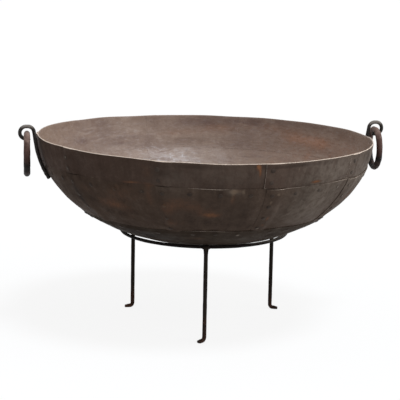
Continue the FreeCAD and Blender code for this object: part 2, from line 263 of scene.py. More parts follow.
@dataclass
class Skin:
    """A closed mesh before it goes into the scene."""

    points: Array
    quads: Array
    triangles: Array = field(default_factory=lambda: rows_of([], 3))
    marks: dict[Mark, Array] = field(default_factory=dict)
    sheet: Array | None = None

    def mesh(self, name: str) -> bpy.types.Mesh:
        """Puts the skin into a mesh with its masks and its sheet map, used points only.

        Args:
            name: Name of the mesh.

        Returns:
            The mesh, in metres.
        """
        quads, triangles = turned_out(self.points, self.quads, self.triangles)
        every = np.concatenate([quads.ravel(), triangles.ravel()])
        used, corners = np.unique(every, return_inverse=True)
        starts = np.concatenate([4 * np.arange(len(quads)), quads.size + 3 * np.arange(len(triangles))])
        mesh = bpy.data.meshes.new(name)
        mesh.vertices.add(len(used))
        mesh.vertices.foreach_set("co", (self.points[used] * MM).astype(np.float32).ravel())
        mesh.loops.add(len(corners))
        mesh.loops.foreach_set("vertex_index", corners.astype(np.int32))
        mesh.polygons.add(len(starts))
        mesh.polygons.foreach_set("loop_start", starts.astype(np.int32))
        mesh.polygons.foreach_set("use_smooth", np.ones(len(starts), dtype=bool))
        if Mark.INSIDE in self.marks:
            within = self.marks[Mark.INSIDE] > 0.5
            side = np.concatenate([within[quads].all(1), within[triangles].all(1)])
            mesh.polygons.foreach_set("material_index", side.astype(np.int32))
        mesh.update(calc_edges=True)
        mesh.validate()
        for mark, values in self.marks.items():
            layer = mesh.attributes.new(mark.value, "FLOAT", "POINT")
            layer.data.foreach_set("value", values[used].astype(np.float32))
        if self.sheet is not None:
            layer = mesh.uv_layers.new(name="sheet")
            layer.data.foreach_set("uv", (self.sheet[used] * MM)[corners].astype(np.float32).ravel())
        mesh.set_sharp_from_angle(angle=math.radians(SHARP_ANGLE))
        return mesh


def settle(skin: Skin, name: str, body: Body, finishes: Finishes, node: str) -> None:
    """Adds a finished piece to the scene in the place of a node of the frame.

    Args:
        skin: Closed mesh of the piece.
        name: Name of the piece.
        body: Body that it rides on.
        finishes: Material of its outside, and of its inside where it has one.
        node: Node that it stands for.
    """
    mesh = skin.mesh(name)
    for finish in finishes:
        mesh.materials.append(finish)
    piece = bpy.data.objects.new(name, mesh)
    bpy.context.scene.collection.objects.link(piece)
    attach(piece, body.value)
    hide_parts(node)
    LOG.info("%s: %d points, %d faces", name, len(mesh.vertices), len(mesh.polygons))


@dataclass(frozen=True)
class SpaceWaves:
    """Smooth uneven field over space: a sum of cosines with seeded directions, wavelengths and phases."""

    shortest: float
    longest: float
    seed: int
    count: int = 20

    def at(self, points: Array) -> Array:
        """Field of about unit spread at points.

        Args:
            points: Points, with their coordinates last.

        Returns:
            The sum over the waves of weight * cos(2 pi direction . point / length + phase).
        """
        draw = np.random.default_rng(self.seed)
        direction = draw.normal(size=(self.count, 3))
        direction /= np.linalg.norm(direction, axis=1, keepdims=True)
        length = np.geomspace(self.shortest, self.longest, self.count)
        phase = draw.uniform(0.0, FULL_TURN, self.count)
        weight = np.sqrt(length / self.longest)
        turns = points @ (direction / length[:, None]).T * FULL_TURN + phase
        return (np.cos(turns) * weight).sum(-1) / math.sqrt(0.5 * (weight**2).sum())


@dataclass(frozen=True)
class HammerMarks:
    """Shallow overlapping hollows, one struck point to each cell of a lattice in space."""

    spacing: float
    reach: float
    depth: float
    seed: float

    def struck(self, cell: Array) -> Array:
        """Struck point of each cell, jittered by the fractional part of a large sine of the cell's place."""
        wild = np.sin(cell @ BLOW_MIXING + self.seed) * BLOW_SCALE
        return (cell + wild - np.floor(wild)) * self.spacing

    def at(self, points: Array) -> Array:
        """Depth of the hollows at points.

        Args:
            points: Points, with their coordinates last.

        Returns:
            Depth times the largest 1 - (distance / reach)^2 over the struck points of the 27 cells around.
        """
        cell = np.floor(points / self.spacing)
        deepest = np.zeros(points.shape[:-1])
        for shift in np.ndindex(3, 3, 3):
            away = points - self.struck(cell + np.array(shift) - 1)
            deepest = np.maximum(deepest, 1.0 - (away**2).sum(-1) / self.reach**2)
        return self.depth * deepest


@dataclass(frozen=True)
class EdgeDrift:
    """Hand-cut waviness of one edge line round the bowl, and the stretches where it rises."""

    down: float
    size: float
    seed: int
    reach: float = 22.0
    rises: tuple[Triple, ...] = ()
    slowest: int = 3
    fastest: int = 18

    def at(self, azimuth: Array, down: Array) -> Array:
        """Length by which the wall's lines are shifted down near the edge.

        Args:
            azimuth: Azimuths in radians.
            down: Lengths of wall below the rim.

        Returns:
            A seeded sum of cosines round the bowl, less a bell for each rise of given azimuth, half width in
            degrees and height, fading away from the edge as a bell.
        """
        draw = np.random.default_rng(self.seed)
        turns = np.arange(self.slowest, self.fastest + 1)
        phase = draw.uniform(0.0, FULL_TURN, len(turns))
        waves = np.cos(azimuth[..., None] * turns + phase).sum(-1) / math.sqrt(len(turns) / 2)
        shift = self.size * waves
        for middle, width, height in self.rises:
            apart = turned_apart(azimuth, math.radians(middle))
            shift = shift - height * np.exp(-((apart / math.radians(width)) ** 2))
        return shift * np.exp(-(((down - self.down) / self.reach) ** 2))


@dataclass(frozen=True)
class BowlForm:
    """The bowl's outline, three tangent arcs from rim to axis, and the hammered unevenness laid over it."""

    rim_radius: float = 400.0
    rim_height: float = 448.578
    leans: Triple = (6.2, 33.4, 63.0)
    bends: Span = (200.0, 282.0)
    seat_radius: float = HOOP_RADIUS
    seat_azimuths: Triple = LEG_AZIMUTHS
    seat_leans: Span = (52.0, 60.0)
    seat_calm: Span = (16.0, 44.0)
    hoop_room: float = 0.8
    stem_leans: Span = (40.0, 48.0)
    stem_calm: Span = (11.0, 36.0)
    dents: SpaceWaves = SpaceWaves(90.0, 260.0, 11)
    ripples: SpaceWaves = SpaceWaves(26.0, 70.0, 12)
    marks: HammerMarks = HammerMarks(19.0, 15.0, 0.32, 0.7)
    bulges: tuple[Patch, ...] = (
        (172.0, 46.0, 22.0, 24.0, 2.0),
        (8.0, 44.0, 20.0, 26.0, 0.8),
    )
    dent_size: float = 0.75
    ripple_size: float = 0.16
    drifts: tuple[EdgeDrift, ...] = (
        EdgeDrift(0.0, 0.4, 21, 10.0, ((175.0, 58.0, 8.6), (227.0, 26.0, 3.5), (330.0, 60.0, 1.3))),
        EdgeDrift(56.97, 0.5, 22, 22.0, ((210.0, 16.0, 5.6), (238.0, 14.0, 2.8))),
        EdgeDrift(86.97, 0.7, 23),
        EdgeDrift(199.07, 0.8, 24),
        EdgeDrift(229.07, 0.8, 25),
    )

    @cached_property
    def arcs(self) -> Array:
        """Rows of arcs: centre radius, centre height, bend, first lean in radians, length at its start."""
        radius, height, length = self.rim_radius, self.rim_height, 0.0
        rows = []
        leans = [math.radians(lean) for lean in self.leans] + [math.pi / 2]
        for index, (first, last) in enumerate(zip(leans[:-1], leans[1:])):
            bend = self.bends[index] if index < len(self.bends) else radius / math.cos(first)
            centre_radius, centre_height = radius - bend * math.cos(first), height + bend * math.sin(first)
            rows.append((centre_radius, centre_height, bend, first, length))
            radius = centre_radius + bend * math.cos(last)
            height = centre_height - bend * math.sin(last)
            length += bend * (last - first)
        return np.array(rows + [(0.0, 0.0, 0.0, 0.0, length)])

    @property
    def pole(self) -> float:
        """Length of wall from the rim to the axis."""
        return float(self.arcs[-1, 4])

    def outline(self, down: Array, offset: Array | float) -> tuple[Array, Array, Array]:
        """Radius, height and lean of the smooth outline.

        Args:
            down: Lengths of wall below the rim.
            offset: Offsets outwards.

        Returns:
            Radii and heights, arc centre plus (bend + offset) (cos lean, -sin lean), and leans in radians.
        """
        index = np.clip(np.searchsorted(self.arcs[1:3, 4], down, side="right"), 0, 2)
        centre_radius, centre_height, bend, first, start = np.moveaxis(self.arcs[index], -1, 0)
        lean = first + (down - start) / bend
        return (
            centre_radius + (bend + offset) * np.cos(lean),
            centre_height - (bend + offset) * np.sin(lean),
            lean,
        )

    def unevenness(self, rest: Array, down: Array, lean: Array) -> Array:
        """Hammered unevenness, calmed at the handle stems and the seats and held back over the stand's hoop.

        Args:
            rest: Points of the smooth wall.
            down: Lengths of wall below the rim there.
            lean: Leans there in radians.

        Returns:
            Offsets outwards: long dents plus short ripples less hammer hollows, and a bell for each bulge of
            given azimuth, length down, half width, half height and size.
        """
        offset = self.dent_size * self.dents.at(rest) + self.ripple_size * self.ripples.at(rest)
        offset = offset - self.marks.at(rest)
        high = 1.0 - smooth_step(lean, *np.radians(self.stem_leans))
        calm = 1.0 - (1.0 - smooth_step(np.abs(rest[..., 1]), *self.stem_calm)) * high
        low = smooth_step(lean, *np.radians(self.seat_leans))
        for azimuth in np.radians(self.seat_azimuths):
            away = np.linalg.norm(rest[..., :2] - self.seat_radius * level_spokes(azimuth)[:2], axis=-1)
            calm = calm * (1.0 - (1.0 - smooth_step(away, *self.seat_calm)) * low)
        offset = offset * calm
        radius = np.hypot(rest[..., 0], rest[..., 1])
        over_hoop = low * (1.0 - smooth_step(np.abs(radius - self.seat_radius), *self.seat_calm))
        offset = offset - over_hoop * np.maximum(offset - self.hoop_room, 0.0)
        turn = np.arctan2(rest[..., 1], rest[..., 0])
        for azimuth, middle, wide, tall, size in self.bulges:
            across = turned_apart(turn, math.radians(azimuth)) * radius / wide
            offset = offset + size * np.exp(-(across**2) - ((down - middle) / tall) ** 2)
        return offset

    def place(self, azimuth: Array, down: Array, offset: Array | float) -> Array:
        """Points of the hammered wall.

        Args:
            azimuth: Azimuths in radians.
            down: Lengths of wall below the rim.
            offset: Offsets outwards.

        Returns:
            Smooth wall points moved along the outward normal by the offset and the unevenness.
        """
        azimuth, down = np.broadcast_arrays(azimuth, down)
        drifted = down + sum(drift.at(azimuth, down) for drift in self.drifts)
        radius, height, lean = self.outline(drifted, 0.0)
        rest = np.stack([radius * np.cos(azimuth), radius * np.sin(azimuth), height], -1)
        total = offset + self.unevenness(rest, drifted, lean)
        return rest + self.outward(azimuth, lean) * np.asarray(total)[..., None]

    @staticmethod
    def outward(azimuth: Array, lean: Array) -> Array:
        """Directions square to the wall: (cos lean cos azimuth, cos lean sin azimuth, -sin lean)."""
        return np.stack([np.cos(lean) * np.cos(azimuth), np.cos(lean) * np.sin(azimuth), -np.sin(lean)], -1)


@dataclass(frozen=True)
class Blemishes:
    """Soft patches on the bowl, some set and some seeded.

    A patch is an azimuth in degrees, a length down the wall, a half width, a half height and a strength.
    """

    seen: tuple[Patch, ...]
    extra: int
    seed: int
    downs: tuple[float, ...]
    width: Span
    height: Span
    strength: Span
    stray: float = 6.0

    @cached_property
    def patches(self) -> Array:
        """The patches that are set, followed by seeded ones spread round the bowl."""
        draw = np.random.default_rng(self.seed)
        spread = np.stack([
            draw.uniform(0.0, 360.0, self.extra),
            draw.choice(self.downs, self.extra) + draw.normal(0.0, self.stray, self.extra),
            draw.uniform(*self.width, self.extra),
            draw.uniform(*self.height, self.extra),
            draw.uniform(*self.strength, self.extra),
        ], -1)
        return np.concatenate([np.array(self.seen), spread])

    def at(self, azimuth: Array, down: Array, radius: Array) -> Array:
        """Mask of the patches.

        Args:
            azimuth: Azimuths in radians.
            down: Lengths of wall below the rim.
            radius: Radii from the bowl's axis.

        Returns:
            The sum over the patches of strength * exp(-(across / width)^2 - (below / height)^2), held to 1.
        """
        turn, middle, width, height, strength = self.patches.T
        across = turned_apart(azimuth[..., None], np.radians(turn)) * radius[..., None] / width
        below = (down[..., None] - middle) / height
        return np.clip((strength * np.exp(-(across**2) - below**2)).sum(-1), 0.0, 1.0)


@dataclass(frozen=True)
class SheetWeatherAndLight:
    """Rust, scuffs, soot and pale dust of the bowl's two sides, with painted shade, painted light and a
    painted sheen among them.
    """

    outside_rust: Blemishes = Blemishes(
        (
            (273.4, 6, 6, 8, 1), (274.2, 20, 4, 14, 0.85), (266.8, 61, 16, 6, 0.5), (266.2, 82, 8, 18, 0.6),
            (281, 146, 5, 12, 0.75), (280.6, 172, 5, 7, 0.65), (295.8, 50, 18, 5, 0.95),
            (232.5, 53, 24, 4, 0.62), (239.5, 57, 16, 5, 0.3), (228, 80, 60, 26, 0.46),
            (238.4, 88, 9, 40, 0.36), (238, 66, 16, 7, 0.14), (220, 116, 50, 26, 0.4),
            (250, 98, 44, 24, 0.5), (258, 122, 40, 22, 0.38), (259.5, 134, 22, 10, 0.52),
        ),
        extra=40, seed=31, downs=(20.0, 70.0, 120.0, 160.0, 240.0, 300.0),
        width=(12.0, 44.0), height=(8.0, 26.0), strength=(0.15, 0.4),
    )
    outside_scuff: Blemishes = Blemishes(
        (
            (241, 21, 5, 3, 0.6), (245, 14, 6, 2.4, 0.5), (222.5, 10, 4, 4, 0.6), (257.2, 192, 12, 4, 0.6),
            (281.8, 204, 9, 4, 0.6), (268.8, 208, 7, 5, 0.5), (266.4, 62, 15, 7, 0.9), (266, 78, 6, 12, 0.5),
            (217.5, 56, 8, 2.2, 0.7), (269.5, 64, 5, 9, 0.6), (276.6, 88, 3, 8, 0.5),
            (287.6, 17, 2.2, 8, 0.85), (281.6, 12, 2.2, 6, 0.7), (284.8, 41, 4, 2.4, 0.7),
            (286.6, 47, 5, 2.2, 0.7), (281.4, 69, 6, 5, 0.85), (279.4, 90, 5, 8, 0.75),
        ),
        extra=40, seed=32, downs=(10.0, 30.0, 57.0, 90.0, 140.0, 200.0, 210.0),
        width=(3.0, 8.0), height=(2.0, 6.0), strength=(0.2, 0.5),
    )
    # Soot and painted shade: a painted shadow on the wall beside each handle stem, painted shade in the lap
    # groove at 206.6 degrees, a dark line under the rim, and the base darker towards the bottom. The seeded
    # patches are soot.
    outside_soot_and_shade: Blemishes = Blemishes(
        (
            (285, 7, 90, 3.2, 0.6), (252, 7, 70, 3, 0.4), (183.4, 62, 10, 52, 0.9), (176.6, 62, 10, 52, 0.7),
            (3.4, 62, 10, 52, 0.7), (356.6, 62, 10, 52, 0.7), (271, 120, 26, 50, 0.28),
            (243, 150, 50, 36, 0.15), (212, 40, 50, 30, 0.2), (206.6, 128, 6, 56, 0.8),
            (226, 226, 60, 22, 0.55), (224, 252, 90, 24, 0.72),
        ),
        extra=26, seed=35, downs=(20.0, 60.0, 110.0, 170.0, 240.0, 330.0),
        width=(20.0, 60.0), height=(14.0, 40.0), strength=(0.15, 0.45),
    )
    # Pale dust, and painted light: the broad patches from 294 to 352 degrees make the wall lighter on the
    # side towards the side lamp.
    outside_pale: Blemishes = Blemishes(
        (
            (264, 24, 120, 34, 0.17), (262, 130, 90, 70, 0.05), (262, 250, 90, 36, 0.08),
            (266.5, 63, 13, 7, 0.3), (294, 40, 60, 80, 0.34), (307, 40, 60, 80, 0.36),
            (299, 130, 80, 60, 0.36), (325, 46, 80, 70, 0.46), (347, 52, 100, 76, 0.86),
            (352, 26, 60, 30, 0.8), (306, 26, 60, 24, 0.16), (325, 180, 120, 50, 0.12),
            (140, 80, 150, 120, 0.5), (70, 70, 120, 100, 0.4),
        ),
        extra=10, seed=36, downs=(40.0, 90.0, 150.0, 260.0),
        width=(30.0, 80.0), height=(20.0, 60.0), strength=(0.1, 0.3),
    )
    inside_rust: Blemishes = Blemishes(
        (
            (31, 46, 60, 18, 0.34), (41, 42, 40, 16, 0.3), (6, 60, 140, 70, 0.46), (38, 74, 170, 90, 0.42),
            (352, 44, 130, 60, 0.15), (52, 24, 60, 12, 0.3), (72, 30, 60, 14, 0.5), (86, 44, 70, 12, 0.45),
            (120, 118, 90, 14, 0.25),
        ),
        extra=60, seed=33, downs=(10.0, 50.0, 90.0, 130.0, 170.0, 240.0, 330.0, 420.0),
        width=(14.0, 50.0), height=(5.0, 18.0), strength=(0.1, 0.34),
    )
    # Scuffs, and a painted sheen: the three listed patches paint the sheen low on the far wall; the seeded
    # patches are scuffs.
    inside_scuff_and_sheen: Blemishes = Blemishes(
        ((92.0, 130.0, 70.0, 20.0, 0.45), (95.0, 108.0, 70.0, 16.0, 0.4), (104.0, 96.0, 50.0, 12.0, 0.3)),
        extra=50, seed=34, downs=(30.0, 80.0, 120.0, 160.0, 230.0, 320.0, 430.0),
        width=(8.0, 34.0), height=(2.0, 6.0), strength=(0.15, 0.4),
    )
    inside_soot: Blemishes = Blemishes(
        (
            (80, 18, 130, 24, 0.55), (134, 40, 90, 70, 0.3), (56, 60, 100, 50, 0.45), (30, 8, 130, 10, 0.4),
            (62, 12, 150, 14, 0.4), (100, 62, 90, 16, 0.25), (118, 46, 90, 44, 0.42), (106, 54, 40, 5, 0.4),
            (112, 70, 30, 4, 0.4), (98, 84, 44, 5, 0.35), (84, 66, 36, 6, 0.4),
        ),
        extra=70, seed=37, downs=(20.0, 50.0, 80.0, 120.0, 170.0, 260.0, 380.0),
        width=(14.0, 60.0), height=(3.0, 14.0), strength=(0.15, 0.45),
    )
    # Pale patches, and painted light: the first lightens the left wall, the second lies under the sheen on
    # the far wall and the third lifts the shaded right wall; the seeded patches are pale tone.
    inside_pale: Blemishes = Blemishes(
        ((165.0, 50.0, 110.0, 60.0, 0.4), (92.0, 140.0, 120.0, 34.0, 0.2), (11.0, 46.0, 120.0, 54.0, 0.95)),
        extra=16, seed=38, downs=(60.0, 120.0, 200.0, 300.0, 420.0),
        width=(40.0, 120.0), height=(14.0, 44.0), strength=(0.1, 0.4),
    )

    def marks(self, azimuth: Array, down: Array, radius: Array) -> dict[Mark, Array]:
        """Masks for the outer points of a sheet followed by its inner points.

        Args:
            azimuth: Azimuths in radians.
            down: Lengths of wall below the rim.
            radius: Radii from the bowl's axis.

        Returns:
            Rust, scuff and painted sheen, soot and painted shade, pale and painted light, and inside masks.
        """
        places = azimuth.ravel(), down.ravel(), radius.ravel()
        sides = {
            Mark.RUST: (self.outside_rust, self.inside_rust),
            Mark.SCUFF: (self.outside_scuff, self.inside_scuff_and_sheen),
            Mark.SOOT: (self.outside_soot_and_shade, self.inside_soot),
            Mark.PALE: (self.outside_pale, self.inside_pale),
        }
        marks = {mark: np.concatenate([side.at(*places) for side in both]) for mark, both in sides.items()}
        marks[Mark.INSIDE] = np.repeat([0.0, 1.0], azimuth.size)
        return marks


@dataclass(frozen=True)
class SheetEdge:
    """Rounding, feathering and wear of the bowl sheet's edges."""

    width: float = 2.0
    drop: float = 0.95
    worn: float = 2.0
    feather: float = 36.0
    feather_drop: float = 2.8
    beat: float = 15.0
    beat_drop: float = 2.8
    press: float = 0.17

    def rounding(self, near: Array) -> Array:
        """Loss of thickness on each side, a quarter ellipse in the distance to the edge."""
        share = np.clip(1.0 - near / self.width, 0.0, 1.0)
        return self.drop * (1.0 - np.sqrt(1.0 - share**2))

    def feathering(self, near: Array) -> Array:
        """Further loss of thickness on the inner side of an edge that is hammered down flush."""
        return self.feather_drop * (1.0 - smooth_step(near, 0.0, self.feather))

    def beating(self, near: Array) -> Array:
        """Share by which an edge is beaten thin and pressed on to the plate below, 1 at the edge itself."""
        return 1.0 - smooth_step(near, 0.0, self.beat)

    def wear(self, near: Array) -> Array:
        """Wear mask, 1 at the edge and 0 a few millimetres from it."""
        return 1.0 - smooth_step(near, 0.0, self.worn)


@dataclass(frozen=True)
class EdgeRub:
    """Share of rubbed or beaten metal along an edge: a level all round, and stretches with more or less."""

    level: float
    stretches: tuple[Triple, ...] = ()

    def at(self, azimuth: Array) -> Array:
        """Share at azimuths, held to 0..1.

        Args:
            azimuth: Azimuths in radians.

        Returns:
            The level plus a bell for each stretch of given azimuth, half width in degrees and size.
        """
        share = np.full(azimuth.shape, self.level)
        for middle, width, size in self.stretches:
            apart = turned_apart(azimuth, math.radians(middle))
            share = share + size * np.exp(-((apart / math.radians(width)) ** 2))
        return np.clip(share, 0.0, 1.0)


@dataclass(frozen=True)
class PlateCourse:
    """Ring of bent plates, each joggled out along one side to lap over the plate before it."""

    node: str
    slot: Slot
    edge_azimuth: float
    top: float
    strip_end: float
    bottom: float
    inner: float
    outer: float
    seed: int
    top_rub: EdgeRub
    side_rub: EdgeRub
    inner_rub: float
    top_beat: EdgeRub
    side_beat: EdgeRub
    count: int = PLATE_COUNT
    lap: float = 30.0
    joggle: float = 24.0
    joggle_start: float = 2.0
    joggle_lines: int = 6
    step_width: float = 0.12
    lap_step: float = 3.2
    butt: float = 0.04
    relief: float = 1.5
    grid_step: float = 3.4
    jump: float = 0.3
    jump_reach: float = 16.0
    inner_narrowing: float = 2.0
    edge: SheetEdge = SheetEdge()

    def build(self, form: BowlForm, weather_and_light: SheetWeatherAndLight, finishes: Finishes) -> None:
        """Builds and dresses every plate of the course.

        Args:
            form: The bowl's form.
            weather_and_light: Rust and scuffs, with painted shade, painted light and a painted sheen.
            finishes: Materials.
        """
        jumps = np.random.default_rng(self.seed).uniform(-self.jump, self.jump, self.count)
        for index, jump in enumerate(jumps):
            name = f"{self.node}_{index + 1:02d}"
            start = math.radians(self.edge_azimuth + index * 360.0 / self.count)
            skin = self.plate(form, weather_and_light, start, jump)
            settle(skin, f"{name}_hammered", Body.BOWL, finishes, name)

    def grid(self, form: BowlForm) -> tuple[Array, Array, Array]:
        """Grid of a plate, close at its edges and where its strip steps in, with a notch under the strip.

        Args:
            form: The bowl's form.

        Returns:
            Lengths across and down the wall, and the table of cells that have metal.
        """
        panel = self.lap + self.joggle
        end = form.rim_radius * FULL_TURN / self.count + self.lap - self.butt
        columns = np.concatenate([
            grid_lines(0.0, self.lap, self.grid_step, True, False)[:-1],
            np.array([self.lap, self.lap + self.step_width]),
            np.linspace(self.lap + self.joggle_start, panel, self.joggle_lines)[:-1],
            grid_lines(panel, end, self.grid_step, False, True),
        ])
        rows = np.concatenate([
            grid_lines(self.top, self.strip_end, self.grid_step, True, True),
            grid_lines(self.strip_end + self.relief, self.bottom, self.grid_step, False, True),
        ])
        middle_across, middle_down = ((lines[:-1] + lines[1:]) / 2 for lines in (columns, rows))
        keep = ~((middle_across[None, :] < self.lap) & (middle_down[:, None] > self.strip_end))
        return *np.meshgrid(columns, rows), keep

    def plate(self, form: BowlForm, weather_and_light: SheetWeatherAndLight, start: float, jump: float) -> Skin:
        """One plate on its grid: the wall plus offsets of its two faces, less what its edges lose.

        The strip is one lap step further out, and a smooth joggle brings the sheet back to the course.

        Args:
            form: The bowl's form.
            weather_and_light: Rust and scuffs, with painted shade, painted light and a painted sheen.
            start: Azimuth of the free edge in radians.
            jump: Length by which the plate's top edge sits lower than its course's.

        Returns:
            The plate's closed skin.
        """
        across, down, keep = self.grid(form)
        edge = self.edge
        on_strip = down <= self.strip_end
        raised = self.lap_step * on_strip * (1.0 - smooth_step(across, self.lap, self.lap + self.joggle))
        raised_within = self.lap_step * on_strip * (across <= self.lap)
        radius = form.outline(down, 0.0)[0]
        shrink = radius / form.rim_radius
        under_top = down - self.top
        free = np.where(on_strip, across * shrink, np.inf)
        near_side = np.minimum(free, np.where(across < self.lap, np.abs(self.strip_end - down), np.inf))
        azimuth = start + across / form.rim_radius
        top_beat, side_beat = self.top_beat.at(azimuth), self.side_beat.at(np.full_like(azimuth, start))
        beating = np.maximum(top_beat * edge.beating(under_top), side_beat * edge.beating(free))
        rounding = edge.rounding(np.minimum(near_side, under_top))
        outer_loss = np.maximum(rounding, edge.beat_drop * beating)
        inner_loss = edge.rounding(under_top) * (1.0 - top_beat) + edge.feathering(self.bottom - down)
        pressed = edge.press * beating
        top_wear = edge.wear(under_top) * self.top_rub.at(azimuth)
        wear = np.maximum(top_wear, edge.wear(near_side) * self.side_rub.at(azimuth))
        wear_within = edge.wear(self.inner_narrowing * under_top) * self.inner_rub
        sunk = down + jump * np.exp(-((under_top / self.jump_reach) ** 2))
        outside = form.place(azimuth, sunk, self.outer + raised - outer_loss - pressed)
        inside = form.place(azimuth, sunk, self.inner + raised_within + inner_loss - pressed)
        marks = weather_and_light.marks(azimuth, down, radius)
        marks[Mark.EDGE] = np.concatenate([wear.ravel(), wear_within.ravel()])
        sheet = np.stack([azimuth * form.rim_radius, down], -1).reshape(-1, 2)
        points = np.concatenate([outside.reshape(-1, 3), inside.reshape(-1, 3)])
        return Skin(points, sheet_skin(keep), marks=marks, sheet=np.tile(sheet, (2, 1)))


@dataclass(frozen=True)
class BaseDish:
    """Round dished plate that closes the bowl, lapping outside the wall course."""

    node: str = "base_dish"
    top: float = 199.07
    inner: float = 3.4
    outer: float = BASE_OUTER
    around: int = 300
    grid_step: float = 4.2
    rub: EdgeRub = EdgeRub(0.05, ((262.0, 20.0, 0.5), (292.0, 8.0, 0.3), (120.0, 20.0, 0.3)))
    beat: EdgeRub = EdgeRub(0.95, ((268.0, 28.0, -0.6), (310.0, 20.0, -0.3), (100.0, 50.0, -0.6)))
    edge: SheetEdge = SheetEdge()

    def build(self, form: BowlForm, weather_and_light: SheetWeatherAndLight, finishes: Finishes) -> None:
        """Builds the dish as rings from the outer pole over the edge to the inner pole.

        Args:
            form: The bowl's form.
            weather_and_light: Rust and scuffs, with painted shade, painted light and a painted sheen.
            finishes: Materials.
        """
        rows = grid_lines(self.top, form.pole, self.grid_step, True, False)[:-1]
        azimuth, down = np.meshgrid(even_turns(self.around), rows)
        radius = form.outline(down, 0.0)[0]
        near = down - self.top
        beat = self.beat.at(azimuth)
        beating, rounding = beat * self.edge.beating(near), self.edge.rounding(near)
        pressed = self.edge.press * beating
        outer_loss = np.maximum(rounding, self.edge.beat_drop * beating)
        outside = form.place(azimuth, down, self.outer - outer_loss - pressed)
        inside = form.place(azimuth, down, self.inner + rounding * (1.0 - beat) - pressed)
        poles = form.place(np.zeros(2), np.full(2, form.pole), np.array([self.outer, self.inner]))
        points = np.concatenate([outside[::-1].reshape(-1, 3), inside.reshape(-1, 3), poles])
        size, ends = azimuth.size, [0.0, 0.0]
        outer = weather_and_light.marks(azimuth[::-1], down[::-1], radius[::-1])
        inner = weather_and_light.marks(azimuth, down, radius)
        marks = {mark: np.concatenate([outer[mark][:size], inner[mark][size:], ends]) for mark in outer}
        marks[Mark.INSIDE][-1] = 1.0
        wear = self.edge.wear(near) * self.rub.at(azimuth)
        marks[Mark.EDGE] = np.concatenate([wear[::-1].ravel(), np.zeros(size), ends])
        quads, triangles = ring_skin(2 * len(rows), self.around, False)
        skin = Skin(points, quads, triangles, marks, points[:, :2])
        settle(skin, f"{self.node}_hammered", Body.BOWL, finishes, self.node)


@dataclass(frozen=True)
class RivetRow:
    """Hand-peened rivets of one kind of seam.

    A place is a rivet's azimuth in degrees, length down the wall, inner offset and outer offset.
    """

    node: str
    places: tuple[tuple[float, float, float, float], ...]
    seed: int
    head_radius: float = 5.0
    head_height: float = 1.5
    head_reaches: tuple[float, ...] = (1.0, 0.92, 0.68, 0.34)
    head_rises: tuple[float, ...] = (0.0, 0.42, 0.76, 0.95)
    tail_radius: float = 4.5
    tail_height: float = 0.4
    tail_reaches: Triple = (0.5, 0.9, 1.0)
    tail_rises: tuple[float, ...] = (0.5, 0.2, 0.0, 0.0)
    tail_pole: float = 0.6
    tail_side: float = 0.1
    shank_radius: float = 2.5
    sizes: Span = (0.9, 1.12)
    flatness: Span = (0.7, 1.0)
    lumps: Span = (0.06, 0.05)
    around: int = 12

    def build(self, form: BowlForm, weather_and_light: SheetWeatherAndLight, finishes: Finishes) -> None:
        """Builds all the rivets at once, each a turned profile with an uneven outline.

        A ring's point is seat + height * outward + radius * (cos * side + sin * rise), its radius times a
        seeded size and 1 + cosines of two and three times the angle.

        Args:
            form: The bowl's form.
            weather_and_light: Rust, scuffs, soot and dust, with painted shade, painted light and a painted
                sheen.
            finishes: Materials.
        """
        azimuth, down, inner, outer = np.array(self.places).T
        azimuth = np.radians(azimuth)
        count = len(azimuth)
        draw = np.random.default_rng(self.seed)
        size = draw.uniform(*self.sizes, (count, 1, 1))
        flat = draw.uniform(*self.flatness, (count, 1))
        phase = draw.uniform(0.0, FULL_TURN, (count, 1, 2))
        wall_radius, _, lean = form.outline(down, 0.0)
        outward = form.outward(azimuth, lean)
        side = np.stack([-np.sin(azimuth), np.cos(azimuth), np.zeros(count)], -1)
        rise = np.cross(outward, side)
        seat = form.place(azimuth, down, inner)
        grip = (outer - inner)[:, None]
        tail = -self.tail_height * np.array(self.tail_rises)
        head = self.head_height * flat * np.array(self.head_rises)
        height = np.concatenate([np.broadcast_to(tail, (count, len(tail))), grip, grip + head], 1)
        tail_radii = np.array(self.tail_reaches) * self.tail_radius
        head_radii = np.array(self.head_reaches) * self.head_radius
        radius = np.concatenate([tail_radii, [self.shank_radius] * 2, head_radii])
        angle = even_turns(self.around)
        lumpy = 1.0 + self.lumps[0] * np.cos(2 * angle + phase[..., :1])
        lumpy = lumpy + self.lumps[1] * np.cos(3 * angle + phase[..., 1:])
        spread = radius[None, :, None] * size * lumpy
        points = seat[:, None, None] + height[..., None, None] * outward[:, None, None]
        points = points + spread[..., None] * np.cos(angle)[:, None] * side[:, None, None]
        points = points + spread[..., None] * np.sin(angle)[:, None] * rise[:, None, None]
        first = seat - self.tail_pole * self.tail_height * outward
        last = seat + (grip + self.head_height * flat) * outward
        whole = np.concatenate([points.reshape(count, -1, 3), first[:, None], last[:, None]], 1)
        quads, triangles = ring_skin(len(radius), self.around, False)
        shift = (np.arange(count) * whole.shape[1])[:, None, None]
        crown = np.repeat(np.clip((height - grip) / self.head_height, 0.0, 1.0), self.around, axis=1)
        within = np.repeat(height < self.tail_side, self.around, axis=1).astype(float)
        none, full = np.zeros((count, 1)), np.ones((count, 1))
        edge, inside = np.concatenate([crown, none, full], 1), np.concatenate([within, full, none], 1)
        marks = {
            mark: np.where(inside > 0.5, values[count:, None], values[:count, None]).ravel()
            for mark, values in weather_and_light.marks(azimuth, down, wall_radius).items()
        }
        marks.update({Mark.EDGE: edge.ravel(), Mark.INSIDE: inside.ravel()})
        skin = Skin(whole.reshape(-1, 3), rows_of(quads + shift, 4), rows_of(triangles + shift, 3), marks)
        settle(skin, f"{self.node}_peened", Body.BOWL, finishes, self.node)


